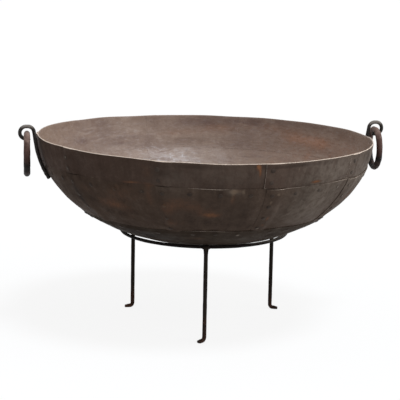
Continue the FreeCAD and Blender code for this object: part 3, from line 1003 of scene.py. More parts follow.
@dataclass(frozen=True)
class Seams:
    """Places of the bowl's rivets."""

    plates: int = PLATE_COUNT
    rim_azimuth: float = 314.15
    wall_edge: float = 313.0
    strip_middle: float = 2.15
    panel_turns: Triple = (11.01, 21.01, 31.0)
    rim_downs: Span = (14.0, 41.47)
    band_down: float = 71.97
    wall_downs: Triple = (103.43, 143.5, 183.57)
    base_down: float = 214.07
    stem_reach: float = 2.2
    stem_azimuths: Span = (0.0, 180.0)
    stem_downs: Span = STEM_RIVET_DOWNS
    stem_outer: float = 11.8
    rim_bottom: float = 86.97
    wall_bottom: float = 229.07
    edge: SheetEdge = SheetEdge()

    def seated(self, down: float, inner: float, bottom: float) -> Span:
        """Length down of a rivet, and its tail's inner offset on a course feathered to its lower edge."""
        return down, inner + float(self.edge.feathering(np.array(bottom - down)))

    def rows(self) -> tuple[RivetRow, ...]:
        """Rivet rows of the rim, band, wall and base seams and of the handle stems."""
        turns = [index * 360.0 / self.plates for index in range(self.plates)]
        panels = [(self.wall_edge + turn + more) % 360.0 for turn in turns for more in self.panel_turns]
        open_panels = [turn for turn in panels if min(turn % 180.0, -turn % 180.0) > self.stem_reach]
        strips = [self.wall_edge + self.strip_middle + turn for turn in turns]
        rim_side, wall_side = (RIM_INNER, self.rim_bottom), (WALL_INNER, self.wall_bottom)
        band, base = self.seated(self.band_down, *rim_side), self.seated(self.base_down, *wall_side)
        rim_downs = [self.seated(down, *rim_side) for down in self.rim_downs]
        wall_downs = [self.seated(down, *wall_side) for down in self.wall_downs]
        stem_downs = [self.seated(down, *rim_side) for down in self.stem_downs]
        rim = [(self.rim_azimuth + turn, *down, WALL_OUTER) for turn in turns for down in rim_downs]
        wall = [(strip, *band, BASE_OUTER) for strip in strips]
        wall += [(strip, *down, BASE_OUTER) for strip in strips for down in wall_downs]
        stems = [(side, *down, self.stem_outer) for side in self.stem_azimuths for down in stem_downs]
        return (
            RivetRow("rim_seam_rivets", tuple(rim), 41),
            RivetRow("band_seam_rivets", tuple((turn, *band, WALL_OUTER) for turn in open_panels), 42),
            RivetRow("wall_seam_rivets", tuple(wall), 43),
            RivetRow("base_seam_rivets", tuple((turn, *base, BASE_OUTER) for turn in panels), 44),
            RivetRow("handle_rivets", tuple(stems), 45, head_radius=4.0, head_height=0.9),
        )


def rod_skin(
    line: Array, across: Array, radius: Array, wide: Array | float = 1.0
) -> tuple[Array, Array, Array]:
    """Closed rod along a line that lies in a plane, with rounded ends.

    The frame at each station is the line's tangent, the plane's normal across and their cross product. A
    point is line + radius * (cos * in-plane normal + wide * sin * across), and the radius falls to the ends
    as a quarter circle.

    Args:
        line: Stations of the centre line.
        across: Unit normal of the plane.
        radius: Radius for each station and angle.
        wide: Widening across the plane for each station and angle.

    Returns:
        Points with the two end points last, four-cornered faces and three-cornered faces.
    """
    around = radius.shape[1]
    tangent = np.gradient(line, axis=0)
    tangent /= np.linalg.norm(tangent, axis=1, keepdims=True)
    normal = np.cross(across, tangent)
    length = run_length(line)
    blunt = np.clip(np.minimum(length, length[-1] - length) / ROD_END, 0.0, 1.0)
    taper = ROD_END_LEFT + (1.0 - ROD_END_LEFT) * np.sqrt(1.0 - (1.0 - blunt) ** 2)
    angle = even_turns(around)
    reach = radius * taper[:, None]
    points = line[:, None] + (reach * np.cos(angle))[..., None] * normal[:, None]
    points = points + (reach * wide * np.sin(angle))[..., None] * across
    quads, triangles = ring_skin(len(line), around, False)
    return np.concatenate([points.reshape(-1, 3), line[:1], line[-1:]]), quads, triangles


def even_line(points: Array, step: float) -> Array:
    """A line through points, sampled again at even steps of its length, with close stations at each end.

    Args:
        points: Points along the line.
        step: Spacing aimed for.

    Returns:
        Evenly spaced stations.
    """
    length = run_length(points)
    middle = np.linspace(ROD_END, length[-1] - ROD_END, max(int(length[-1] / step), 2))
    stations = np.concatenate([END_STATIONS, middle, length[-1] - END_STATIONS[::-1]])
    return np.stack([np.interp(stations, length, column) for column in points.T], -1)


def arc_points(centre: Span, radius: float, first: float, last: float, count: int) -> Array:
    """Points of an arc in the XZ plane between two angles in degrees: centre + radius * (cos, sin)."""
    angle = np.radians(np.linspace(first, last, count))
    x, z = centre[0] + radius * np.cos(angle), centre[1] + radius * np.sin(angle)
    return np.stack([x, np.zeros(count), z], -1)


def half_turned(points: Array, turned: bool) -> Array:
    """Points turned half round the bowl's axis, if asked."""
    return points * np.array([-1.0, -1.0, 1.0]) if turned else points


@dataclass(frozen=True)
class HandlePair:
    """Forged handle rods, each with an oval eye above the rim and a stem on the wall, and their rings."""

    rod_radius: float = 4.5
    rod_under: float = 0.2
    rod_lump: float = 0.12
    rod_square: float = 0.07
    eye_middle: Span = (427.582, 466.02)
    eye_bend: float = 14.5
    eye_flat: float = 4.0
    eye_stations: tuple[int, int, int] = (8, 40, 20)
    # Upper part of each eye worn lighter: wear and painted light, stronger on the right eye.
    eye_rubs_and_light: Span = (0.9, 0.7)
    eye_rub_and_light_heights: Span = (0.1, 0.95)
    end_turn: float = 22.0
    stem_lean: float = 9.0
    stem_top_down: float = 9.774
    stem_end_down: float = 93.755
    stem_offset: float = 7.8
    stem_stations: int = 60
    station_step: float = 2.0
    flat_downs: Span = STEM_RIVET_DOWNS
    flat_depth: float = 0.5
    flat_reach: Span = (4.2, 7.0)
    around: int = 20
    ring_pivot: float = 464.32
    ring_radius: float = 47.0
    ring_bar: float = 8.0
    ring_worn: float = 0.15
    ring_worn_reach: float = 0.12
    ring_under: float = 0.03
    ring_lump: float = 0.022
    ring_square: float = 0.02
    ring_stations: int = 132
    ring_around: int = 22
    # Painted shade over the lower part of each ring, and its upper half worn lighter as wear and painted
    # light.
    ring_painted_shade: float = 0.95
    ring_shade_depths: Span = (0.8, 1.5)
    ring_rub_and_light: float = 0.6
    ring_rub_and_light_heights: Span = (-0.75, 0.05)
    twists: Span = (-4.0, -6.0)
    forged: SpaceWaves = SpaceWaves(9.0, 34.0, 51)

    def centre_line(self, form: BowlForm) -> Array:
        """Centre line of the right rod: the eye's bends and flats, a rise and the stretch along the wall.

        Args:
            form: The bowl's form.

        Returns:
            Evenly spaced stations from the eye's end to the stem's tail.
        """
        x, z = self.eye_middle
        inner, outer = (x - self.eye_flat / 2, z), (x + self.eye_flat / 2, z)
        downs = np.linspace(self.stem_top_down, self.stem_end_down, self.stem_stations)
        radius, height, _ = form.outline(downs, self.stem_offset)
        under, round_out, over = self.eye_stations
        corners = [
            arc_points(inner, self.eye_bend, -90.0 - self.end_turn, -90.0, under),
            arc_points(outer, self.eye_bend, -90.0, 90.0, round_out),
            arc_points(inner, self.eye_bend, 90.0, 180.0 - self.stem_lean, over),
            np.stack([radius, np.zeros_like(radius), height], -1),
        ]
        return even_line(np.concatenate(corners), self.station_step)

    def rod(self, form: BowlForm) -> tuple[Array, Array, Array]:
        """Skin of the right rod, slightly lumpy and square, with flats under the two rivet heads.

        Args:
            form: The bowl's form.

        Returns:
            Points and faces.
        """
        line = self.centre_line(form)
        square = self.rod_square * np.cos(4 * even_turns(self.around))
        lump = self.forged.at(line)[:, None] * self.rod_lump + square[None, :]
        points, quads, triangles = rod_skin(line, ACROSS, self.rod_radius - self.rod_under + lump)
        for down in self.flat_downs:
            seat_radius, seat_height, lean = form.outline(np.array([down]), self.stem_offset)
            outward = np.array([math.cos(lean[0]), 0.0, -math.sin(lean[0])])
            away = points - np.array([seat_radius[0], 0.0, seat_height[0]])
            proud = away @ outward - (self.rod_radius - self.flat_depth)
            beside = np.linalg.norm(away - (away @ outward)[:, None] * outward, axis=1)
            cut = np.clip(proud, 0.0, None) * (1.0 - smooth_step(beside, *self.flat_reach))
            points = points - cut[:, None] * outward
        return points, quads, triangles

    def ring(self, twist: float) -> tuple[Array, Array, Array]:
        """Skin of a ring in the right eye: a torus whose bar is worn thin where it lies in the eye.

        The inner side keeps its radius, so the bar's middle is the inner radius plus the bar's own radius.

        Args:
            twist: Turn about the vertical from the plane across the handle, in degrees.

        Returns:
            Points and faces.
        """
        turn, angle = even_turns(self.ring_stations), even_turns(self.ring_around)
        square = level_spokes(math.radians(twist))
        level = np.cross(UP, square)
        middle = np.array([self.eye_middle[0], 0.0, self.ring_pivot - self.ring_radius])
        spoke = np.cos(turn)[:, None] * UP + np.sin(turn)[:, None] * level
        worn = self.ring_worn * np.exp(-((1.0 - np.cos(turn)) / self.ring_worn_reach))
        lump = self.ring_lump * self.forged.at(middle + self.ring_radius * spoke) - self.ring_under
        bar = self.ring_bar * np.minimum(1.0 - worn + lump, 1.0)
        reach = bar[:, None] * (1.0 - self.ring_square * (1.0 - np.cos(4 * angle)))
        out = (self.ring_radius - self.ring_bar + bar)[:, None] + reach * np.cos(angle)
        points = middle + out[..., None] * spoke[:, None] + (reach * np.sin(angle))[..., None] * square
        return points.reshape(-1, 3), *ring_skin(self.ring_stations, self.ring_around, True)

    def build(self, form: BowlForm, rod_finish: Finishes, ring_finish: Finishes) -> None:
        """Builds and dresses both rods and both rings.

        Args:
            form: The bowl's form.
            rod_finish: Material of the rods.
            ring_finish: Material of the rings.
        """
        points, *faces = self.rod(form)
        # The eye's upper part is worn lighter, as wear and painted light.
        over = (points[:, 2] - self.eye_middle[1]) / (self.eye_bend + self.rod_radius)
        eye = smooth_step(over, *self.eye_rub_and_light_heights)
        sides = zip(("right", "left"), (Body.RING_RIGHT, Body.RING_LEFT), self.twists, self.eye_rubs_and_light)
        for turned, (side, body, twist, eye_rub_and_light) in enumerate(sides):
            rod = Skin(half_turned(points, bool(turned)), *faces, {Mark.EDGE: eye_rub_and_light * eye})
            settle(rod, f"handle_{side}_forged", Body.BOWL, rod_finish, f"handle_{side}")
            ring_points, *ring_faces = self.ring(twist)
            height = (ring_points[:, 2] - self.ring_pivot) / self.ring_radius
            # Painted shade low on the ring, and its upper half lighter as wear and painted light.
            marks = {
                Mark.SOOT: self.ring_painted_shade * smooth_step(-height, *self.ring_shade_depths),
                Mark.EDGE: self.ring_rub_and_light * smooth_step(height, *self.ring_rub_and_light_heights),
            }
            ring = Skin(half_turned(ring_points, bool(turned)), *ring_faces, marks)
            settle(ring, f"ring_{side}_forged", body, ring_finish, f"ring_{side}")


@dataclass(frozen=True)
class RodStand:
    """Hoop of round bar on three legs, each leg bent to a flattened toe and welded under the hoop."""

    hoop_radius: float = HOOP_RADIUS
    hoop_bar: float = 4.0
    hoop_under: float = 0.08
    hoop_lump: float = 0.06
    hoop_height: float = 225.0
    hoop_stations: int = 260
    hoop_around: int = 14
    # Painted shade over the whole hoop, and a painted highlight on the top of its bar on one side.
    hoop_painted_shade: float = 0.9
    hoop_painted_highlight: float = 0.9
    highlight_azimuth: float = 322.0
    highlight_focus: float = 4.0
    highlight_rises: Span = (-0.2, 0.7)
    leg_radius: float = 5.0
    leg_under: float = 0.12
    leg_lump: float = 0.08
    leg_sink: float = 1.0
    leg_step: float = 2.4
    leg_around: int = 16
    legs: tuple[str, str, str] = ("leg_front", "leg_back_left", "leg_back_right")
    leg_azimuths: Triple = LEG_AZIMUTHS
    toe_turns: Triple = (-45.0, 35.0, -35.0)
    toe_bend: float = 8.0
    toe_stations: int = 14
    toe_reach: float = 19.5
    toe_tip: float = 4.0
    toe_spread: float = 0.22
    toe_flat_start: float = 0.6
    sole_flat: float = 1.5
    weld_radius: float = 7.2
    weld_end_radius: float = 4.4
    weld_length: float = 18.0
    weld_drop: float = 2.4
    weld_under: float = 0.45
    weld_blunt: float = 3.0
    weld_ripple: float = 0.03
    weld_ripple_pace: float = 9.0
    weld_stations: int = 19
    weld_around: int = 18
    skirt_drop: float = 16.0
    skirt_room: float = 0.15
    skirt_flare: float = 2.0
    skirt_fall: float = 7.0
    skirt_power: float = 1.6
    skirt_tuck: float = 0.9
    uneven: SpaceWaves = SpaceWaves(12.0, 60.0, 61)
    uneven_shift: float = 300.0
    foot_rust: float = 0.45
    rust_height: float = 130.0

    def build(self, finishes: Finishes) -> None:
        """Builds and dresses the hoop, the legs and the welds.

        Args:
            finishes: Materials.
        """
        settle(self.hoop(), "stand_hoop_rod", Body.STAND, finishes, "stand_hoop")
        for name, azimuth, toe_turn in zip(self.legs, self.leg_azimuths, self.toe_turns):
            skin = self.leg(math.radians(azimuth), math.radians(azimuth + toe_turn))
            settle(skin, f"{name}_rod", Body.STAND, finishes, name)
        settle(self.welds(), "leg_welds_beads", Body.STAND, finishes, "leg_welds")

    def hoop(self) -> Skin:
        """Slightly uneven torus: (hoop radius + bar cos) along the spoke and bar sin upwards.

        Returns:
            The hoop's skin, darkened all over as painted shade under the bowl, with a painted highlight on
            top on one side.
        """
        turn, angle = even_turns(self.hoop_stations), even_turns(self.hoop_around)
        spoke = level_spokes(turn)
        lump = self.hoop_lump * self.uneven.at(self.hoop_radius * spoke)[:, None]
        bar = self.hoop_bar - self.hoop_under + lump
        reach = (self.hoop_radius + bar * np.cos(angle))[..., None] * spoke[:, None]
        rise = (self.hoop_height + bar * np.sin(angle))[..., None] * UP
        # Painted highlight on top of the bar on one side, and painted shade all over.
        rubbed_and_lit = np.exp(self.highlight_focus * (np.cos(turn - math.radians(self.highlight_azimuth)) - 1.0))
        edge = (self.hoop_painted_highlight * rubbed_and_lit[:, None] * smooth_step(np.sin(angle), *self.highlight_rises)).ravel()
        marks = {Mark.EDGE: edge, Mark.SOOT: np.full(edge.shape, self.hoop_painted_shade)}
        return Skin((reach + rise).reshape(-1, 3), *ring_skin(len(turn), len(angle), True), marks)

    def leg(self, azimuth: float, toe: float) -> Skin:
        """Rod down from the hoop, round the toe's bend and out, flattened between the sole and a taper.

        Args:
            azimuth: Azimuth of the leg in radians.
            toe: Direction of the toe in radians.

        Returns:
            The leg's skin.
        """
        axis = self.leg_radius - self.sole_flat
        bend_middle = (self.toe_bend, axis + self.toe_bend)
        line = even_line(np.concatenate([
            np.array([[0.0, 0.0, self.hoop_height - self.leg_sink]]),
            arc_points(bend_middle, self.toe_bend, 180.0, 270.0, self.toe_stations),
            np.array([[self.toe_reach, 0.0, axis]]),
        ]), self.leg_step)
        flattened = smooth_step(line[:, 0], self.toe_bend * self.toe_flat_start, self.toe_reach)
        lump = self.leg_lump * self.uneven.at(line + self.uneven_shift * azimuth)[:, None]
        radius = np.repeat(self.leg_radius - self.leg_under + lump, self.leg_around, axis=1)
        wide = 1.0 + self.toe_spread * flattened[:, None]
        points, quads, triangles = rod_skin(line, ACROSS, radius, wide)
        share = np.clip((points[:, 0] - self.toe_bend) / (self.toe_reach - self.toe_bend), 0.0, 1.0)
        top = axis + self.leg_radius - share * (axis + self.leg_radius - self.toe_tip)
        held = np.where(points[:, 0] > self.toe_bend, np.minimum(points[:, 2], top), points[:, 2])
        forward = level_spokes(toe)
        height = np.maximum(held, 0.0)
        placed = self.hoop_radius * level_spokes(azimuth) + points[:, :1] * forward
        placed = placed + points[:, 1:2] * np.cross(UP, forward) + height[:, None] * UP
        rust = self.foot_rust * (1.0 - smooth_step(height, 0.0, self.rust_height))
        return Skin(placed, quads, triangles, {Mark.RUST: rust})

    def bead(self, azimuth: float) -> Array:
        """Weld bead along the hoop over a leg: a piece of torus, thick in the middle and flatter below.

        Args:
            azimuth: Azimuth of the leg in radians.

        Returns:
            Points, with the two end points last.
        """
        share, angle = np.linspace(-1.0, 1.0, self.weld_stations), even_turns(self.weld_around)
        spoke = level_spokes(azimuth + share * self.weld_length / 2 / self.hoop_radius)
        swell = np.sqrt(np.clip(1.0 - np.abs(share) ** self.weld_blunt, 0.0, 1.0))
        swell = swell * (1.0 + self.weld_ripple * np.cos(self.weld_ripple_pace * share))
        thick = self.weld_end_radius + (self.weld_radius - self.weld_end_radius) * np.minimum(swell, 1.0)
        reach = (self.hoop_radius + thick[:, None] * np.cos(angle))[..., None] * spoke[:, None]
        lift = np.where(np.sin(angle) < 0.0, self.weld_under, 1.0) * np.sin(angle)
        middle = self.hoop_height - self.weld_drop
        rise = (middle + thick[:, None] * lift)[..., None] * UP
        ends = self.hoop_radius * spoke[[0, -1]] + middle * UP
        return np.concatenate([(reach + rise).reshape(-1, 3), ends])

    def skirt(self, azimuth: float) -> Array:
        """Weld that runs down on to a leg: rings whose flare dies away downwards, the last one tucked in.

        Args:
            azimuth: Azimuth of the leg in radians.

        Returns:
            Points, with the two end points last.
        """
        drop = (np.linspace(-1.0, 1.0, self.weld_stations) + 1.0) / 2 * self.skirt_drop
        flare = self.skirt_flare * np.exp(-((drop / self.skirt_fall) ** self.skirt_power))
        reach = self.leg_radius + self.skirt_room + flare
        reach[-1] -= self.skirt_tuck
        middle = self.hoop_radius * level_spokes(azimuth)
        axis = middle + (self.hoop_height - self.leg_sink - drop)[:, None] * UP
        rings = axis[:, None] + reach[:, None, None] * level_spokes(even_turns(self.weld_around))
        return np.concatenate([rings.reshape(-1, 3), axis[[0, -1]]])

    def welds(self) -> Skin:
        """Beads and skirts of all the legs as one skin, each turned to face outwards."""
        quads, triangles = ring_skin(self.weld_stations, self.weld_around, False)
        points, faces, corners, count = [], [], [], 0
        for azimuth in map(math.radians, self.leg_azimuths):
            for lump in (self.bead(azimuth), self.skirt(azimuth)):
                out_quads, out_triangles = turned_out(lump - lump.mean(0), quads, triangles)
                points.append(lump)
                faces.append(out_quads + count)
                corners.append(out_triangles + count)
                count += len(lump)
        return Skin(np.concatenate(points), np.concatenate(faces), np.concatenate(corners))


def paint(shade: Shade) -> tuple[float, float, float, float]:
    """Scene-linear colour of a screen colour.

    Args:
        shade: Red, green and blue in steps of 0 to 255.

    Returns:
        Linear red, green and blue, and an alpha of 1.
    """
    shares = np.array(shade) / SCREEN_STEPS
    curved = ((shares + CURVE_SHIFT) / (1.0 + CURVE_SHIFT)) ** CURVE_POWER
    return (*np.where(shares <= CURVE_LIMIT, shares / CURVE_SLOPE, curved).tolist(), 1.0)


class Sum(Enum):
    """Operations of a math node."""

    TIMES = "MULTIPLY"
    TIMES_PLUS = "MULTIPLY_ADD"
    PLUS = "ADD"
    LESS = "SUBTRACT"
    LARGER = "MAXIMUM"
    SMALLER = "MINIMUM"


class Kind(Enum):
    """Socket types of a shared effect."""

    VALUE = "NodeSocketFloat"
    COLOUR = "NodeSocketColor"
    PLACE = "NodeSocketVector"


class Wiring:
    """Adds shader nodes to a tree and joins them."""

    def __init__(self, tree: Tree) -> None:
        """Keeps the tree that nodes are added to."""
        self.tree = tree

    def add(self, kind: str, values: dict[str, object] | None = None, **settings: object) -> Node:
        """Adds a node.

        Args:
            kind: Node type.
            values: Sockets or plain values for inputs, by name.
            settings: Properties of the node.

        Returns:
            The node.
        """
        node = self.tree.nodes.new(kind)
        for name, setting in settings.items():
            setattr(node, name, setting)
        for name, value in (values or {}).items():
            self.feed(node.inputs[name], value)
        return node

    def feed(self, socket: Socket, value: object) -> None:
        """Links a socket to an input, or sets the input's own value."""
        if isinstance(value, Socket):
            self.tree.links.new(value, socket)
        else:
            socket.default_value = value

    def noise(self, vector: Socket, scale: object, detail: float, rough: float, bend: float = 0.0) -> Socket:
        """Noise value at a scale per metre."""
        values = {"Vector": vector, "Scale": scale, "Detail": detail, "Roughness": rough, "Distortion": bend}
        return self.add("ShaderNodeTexNoise", values).outputs["Fac"]

    def spread(
        self, value: Socket, low: float, high: float, first: float = 0.0, last: float = 1.0
    ) -> Socket:
        """Value mapped from low..high to first..last, smoothly and held at both ends."""
        values = {"Value": value, "From Min": low, "From Max": high, "To Min": first, "To Max": last}
        return self.add("ShaderNodeMapRange", values, interpolation_type="SMOOTHSTEP").outputs["Result"]

    def sum(self, kind: Sum, *terms: object) -> Socket:
        """Result of a math node on its terms, held to 0..1 when it adds or takes away.

        Args:
            kind: Operation.
            terms: Sockets or plain values.

        Returns:
            The result.
        """
        node = self.add("ShaderNodeMath", operation=kind.value, use_clamp=kind in (Sum.PLUS, Sum.LESS))
        for socket, term in zip(node.inputs, terms):
            self.feed(socket, term)
        return node.outputs[0]

    def blend(self, share: object, first: object, second: object) -> Socket:
        """Colour between two colours.

        Args:
            share: Share of the second colour.
            first: First colour.
            second: Second colour.

        Returns:
            The colour.
        """
        node = self.add("ShaderNodeMix", data_type="RGBA")
        for index, value in zip(MIX_INPUTS, (share, first, second)):
            self.feed(node.inputs[index], value)
        return node.outputs[MIX_RESULT]

    def mark(self, mark: Mark) -> Socket:
        """A mask kept on the mesh."""
        return self.add("ShaderNodeAttribute", attribute_name=mark.value).outputs["Fac"]


def effect(name: str, takes: dict[str, Kind], gives: dict[str, Kind]) -> tuple[Wiring, Outputs, Inputs]:
    """Starts a shared effect.

    Args:
        name: Name of the node group.
        takes: Inputs.
        gives: Outputs.

    Returns:
        Wiring of the group, the sockets that it takes and the sockets that it gives.
    """
    tree = bpy.data.node_groups.new(name, "ShaderNodeTree")
    for in_out, sockets in (("INPUT", takes), ("OUTPUT", gives)):
        for socket, kind in sockets.items():
            tree.interface.new_socket(socket, in_out=in_out, socket_type=kind.value)
    wiring = Wiring(tree)
    return wiring, wiring.add("NodeGroupInput").outputs, wiring.add("NodeGroupOutput").inputs


class Effects:
    """Effects shared by the iron finishes, each a node group that is built once."""

    @cached_property
    def cloud(self) -> Tree:
        """Soft zone: a mask whose strength is varied by noise of a size, held to 1."""
        takes = {"Place": Kind.PLACE, "Amount": Kind.VALUE, "Size": Kind.VALUE}
        wiring, start, end = effect("soft_zone", takes, {"Mask": Kind.VALUE})
        drift = wiring.noise(start["Place"], start["Size"], detail=4.0, rough=0.6, bend=0.5)
        share = wiring.spread(drift, low=0.3, high=0.66, first=0.55, last=1.25)
        varied = wiring.sum(Sum.TIMES, start["Amount"], share)
        wiring.feed(end["Mask"], wiring.sum(Sum.SMALLER, varied, 1.0))
        return wiring.tree

    @cached_property
    def mottle(self) -> Tree:
        """Cloudy patina: three colours mixed by noise at three sizes."""
        shades = {"Dark": Kind.COLOUR, "Middle": Kind.COLOUR, "Light": Kind.COLOUR}
        takes = {"Place": Kind.PLACE, "Size": Kind.VALUE, **shades}
        wiring, start, end = effect("iron_mottle", takes, {"Colour": Kind.COLOUR, "Tone": Kind.VALUE})
        place, size = start["Place"], start["Size"]
        spot_size, speck_size = wiring.sum(Sum.TIMES, size, 5.3), wiring.sum(Sum.TIMES, size, 31.0)
        clouds = wiring.noise(place, size, detail=4.0, rough=0.6, bend=0.4)
        spots = wiring.noise(place, spot_size, detail=4.0, rough=0.65, bend=0.3)
        specks = wiring.noise(place, speck_size, detail=3.0, rough=0.6)
        tone = wiring.sum(Sum.TIMES_PLUS, spots, 0.42, wiring.sum(Sum.TIMES, clouds, 0.4))
        tone = wiring.sum(Sum.TIMES_PLUS, specks, 0.18, tone)
        lower = wiring.blend(wiring.spread(tone, low=0.34, high=0.5), start["Dark"], start["Middle"])
        upper = wiring.blend(wiring.spread(tone, low=0.5, high=0.68), lower, start["Light"])
        wiring.feed(end["Colour"], upper)
        wiring.feed(end["Tone"], wiring.spread(tone, low=0.36, high=0.64))
        return wiring.tree

    @cached_property
    def rust(self) -> Tree:
        """Rust bloom: a soft mask broken up by noise, and its orange to brown colour."""
        takes = {"Place": Kind.PLACE, "Amount": Kind.VALUE, "Bright": Kind.COLOUR, "Deep": Kind.COLOUR}
        wiring, start, end = effect("rust_bloom", takes, {"Mask": Kind.VALUE, "Colour": Kind.COLOUR})
        place, amount = start["Place"], start["Amount"]
        clouds = wiring.noise(place, scale=38.0, detail=5.0, rough=0.68, bend=0.6)
        specks = wiring.noise(place, scale=190.0, detail=4.0, rough=0.6)
        broken = wiring.sum(Sum.TIMES_PLUS, specks, 0.5, wiring.sum(Sum.TIMES, clouds, 0.8))
        broken = wiring.sum(Sum.TIMES_PLUS, broken, 0.7, -0.42)
        risen = wiring.sum(Sum.PLUS, wiring.sum(Sum.TIMES, amount, 0.95), broken)
        begun = wiring.spread(amount, low=0.02, high=0.3)
        wiring.feed(end["Mask"], wiring.sum(Sum.TIMES, wiring.spread(risen, low=0.22, high=0.85), begun))
        fresh = wiring.sum(Sum.TIMES_PLUS, specks, 0.4, wiring.sum(Sum.TIMES, amount, 0.8))
        share = wiring.spread(fresh, low=0.6, high=1.1)
        wiring.feed(end["Colour"], wiring.blend(share, start["Deep"], start["Bright"]))
        return wiring.tree

    @cached_property
    def wear(self) -> Tree:
        """Rubbed metal and painted highlights: an edge mask broken up along its length by noise."""
        takes = {"Place": Kind.PLACE, "Edge": Kind.VALUE, "Break": Kind.VALUE}
        wiring, start, end = effect("rubbed_edge_and_highlight", takes, {"Mask": Kind.VALUE})
        gaps = wiring.noise(start["Place"], scale=55.0, detail=4.0, rough=0.6)
        nicks = wiring.noise(start["Place"], scale=300.0, detail=3.0, rough=0.6)
        gaps = wiring.sum(Sum.TIMES_PLUS, nicks, 0.35, gaps)
        left = wiring.sum(Sum.LESS, start["Edge"], wiring.sum(Sum.TIMES, gaps, start["Break"]))
        wiring.feed(end["Mask"], wiring.spread(left, low=0.02, high=0.5))
        return wiring.tree

    @cached_property
    def grain(self) -> Tree:
        """Scale and pits of old iron, as a height."""
        takes = {"Place": Kind.PLACE, "Size": Kind.VALUE}
        wiring, start, end = effect("iron_grain", takes, {"Height": Kind.VALUE})
        place, size = start["Place"], start["Size"]
        grit_size, pit_size = wiring.sum(Sum.TIMES, size, 6.0), wiring.sum(Sum.TIMES, size, 2.2)
        swell = wiring.noise(place, size, detail=4.0, rough=0.6)
        grit = wiring.noise(place, grit_size, detail=3.0, rough=0.65)
        pits = wiring.spread(wiring.noise(place, pit_size, detail=2.0, rough=0.5), low=0.62, high=0.74)
        height = wiring.sum(Sum.TIMES_PLUS, grit, 0.35, swell)
        wiring.feed(end["Height"], wiring.sum(Sum.TIMES_PLUS, pits, -0.5, height))
        return wiring.tree


def new_material(name: str) -> tuple[Material, Wiring, Node]:
    """Starts a material.

    Args:
        name: Name of the material.

    Returns:
        The material, its wiring and its main shader.
    """
    material = bpy.data.materials.new(name)
    material.use_nodes = True
    return material, Wiring(material.node_tree), material.node_tree.nodes["Principled BSDF"]


@dataclass(frozen=True)
class Tones:
    """Dark, middle and light colours of a patina, as screen colours."""

    dark: Shade
    middle: Shade
    light: Shade

    def values(self) -> dict[str, object]:
        """Colours as inputs of the mottle effect."""
        return {"Dark": paint(self.dark), "Middle": paint(self.middle), "Light": paint(self.light)}


class IronCoats:
    """Coats of an iron material, laid one over another on a mottled patina."""

    def __init__(self, name: str, effects: Effects, tones: Tones, size: float) -> None:
        """Starts the material with its patina.

        Args:
            name: Name of the material.
            effects: Shared effects.
            tones: Colours of the patina.
            size: Size of the patina per metre.
        """
        self.effects = effects
        self.material, self.wiring, self.shader = new_material(name)
        coordinates = self.wiring.add("ShaderNodeTexCoord")
        self.place, self.sheet = coordinates.outputs["Object"], coordinates.outputs["UV"]
        patina = self.placed(effects.mottle, Size=size, **tones.values())
        self.colour, self.tone = patina["Colour"], patina["Tone"]

    def placed(self, tree: Tree, **values: object) -> Outputs:
        """Places a shared effect at the material's coordinates and gives its outputs."""
        return self.wiring.add("ShaderNodeGroup", {"Place": self.place, **values}, node_tree=tree).outputs

    def lay(self, mask: Socket, shade: Shade | Socket, share: float = 1.0) -> Socket:
        """Blends a shade or a colour socket over the colour by a share of a mask, and gives the mask back."""
        top = shade if isinstance(shade, Socket) else paint(shade)
        self.colour = self.wiring.blend(self.wiring.sum(Sum.TIMES, mask, share), self.colour, top)
        return mask

    def zone(self, mark: Mark, size: float, shade: Shade) -> Socket:
        """Lays a soft zone of a size where the mesh has a mark, and gives its mask."""
        zone = self.placed(self.effects.cloud, Amount=self.wiring.mark(mark), Size=size)
        return self.lay(zone["Mask"], shade)

    def rust(self, amount: Socket, bright: Shade, deep: Shade, share: float = 1.0) -> None:
        """Lays a share of fresh and old rust by its amount."""
        bloom = self.placed(self.effects.rust, Amount=amount, Bright=paint(bright), Deep=paint(deep))
        self.lay(bloom["Mask"], bloom["Colour"], share)

    def rub(self, edge: Socket, shade: Shade, gaps: float = 0.4, share: float = 1.0) -> Socket:
        """Lays worn metal and painted highlights along an edge that gaps break up, and gives the mask that is
        left.
        """
        return self.lay(self.placed(self.effects.wear, Edge=edge, Break=gaps)["Mask"], shade, share)

    def streaks(self, stretch: Triple, detail: float, rough: float, bend: float) -> Socket:
        """Noise that is drawn out along the sheet."""
        drawn = self.wiring.add("ShaderNodeMapping", {"Vector": self.sheet, "Scale": stretch}).outputs[0]
        return self.wiring.noise(drawn, 1.0, detail, rough, bend)

    def finish(self, rough: Socket, shine: float, size: float, strength: float, depth: float) -> Material:
        """Joins the colour, the roughness and a fine relief to the shader.

        Args:
            rough: Roughness.
            shine: Strength of the reflection.
            size: Size of the relief per metre.
            strength: Strength of the relief.
            depth: Depth of the relief in metres.

        Returns:
            The material.
        """
        height = self.placed(self.effects.grain, Size=size)["Height"]
        bump = self.wiring.add("ShaderNodeBump", {"Height": height, "Strength": strength, "Distance": depth})
        inputs = {"Base Color": self.colour, "Roughness": rough, "Normal": bump.outputs["Normal"]}
        for name, value in {**inputs, "Specular IOR Level": shine}.items():
            self.wiring.feed(self.shader.inputs[name], value)
        return self.material


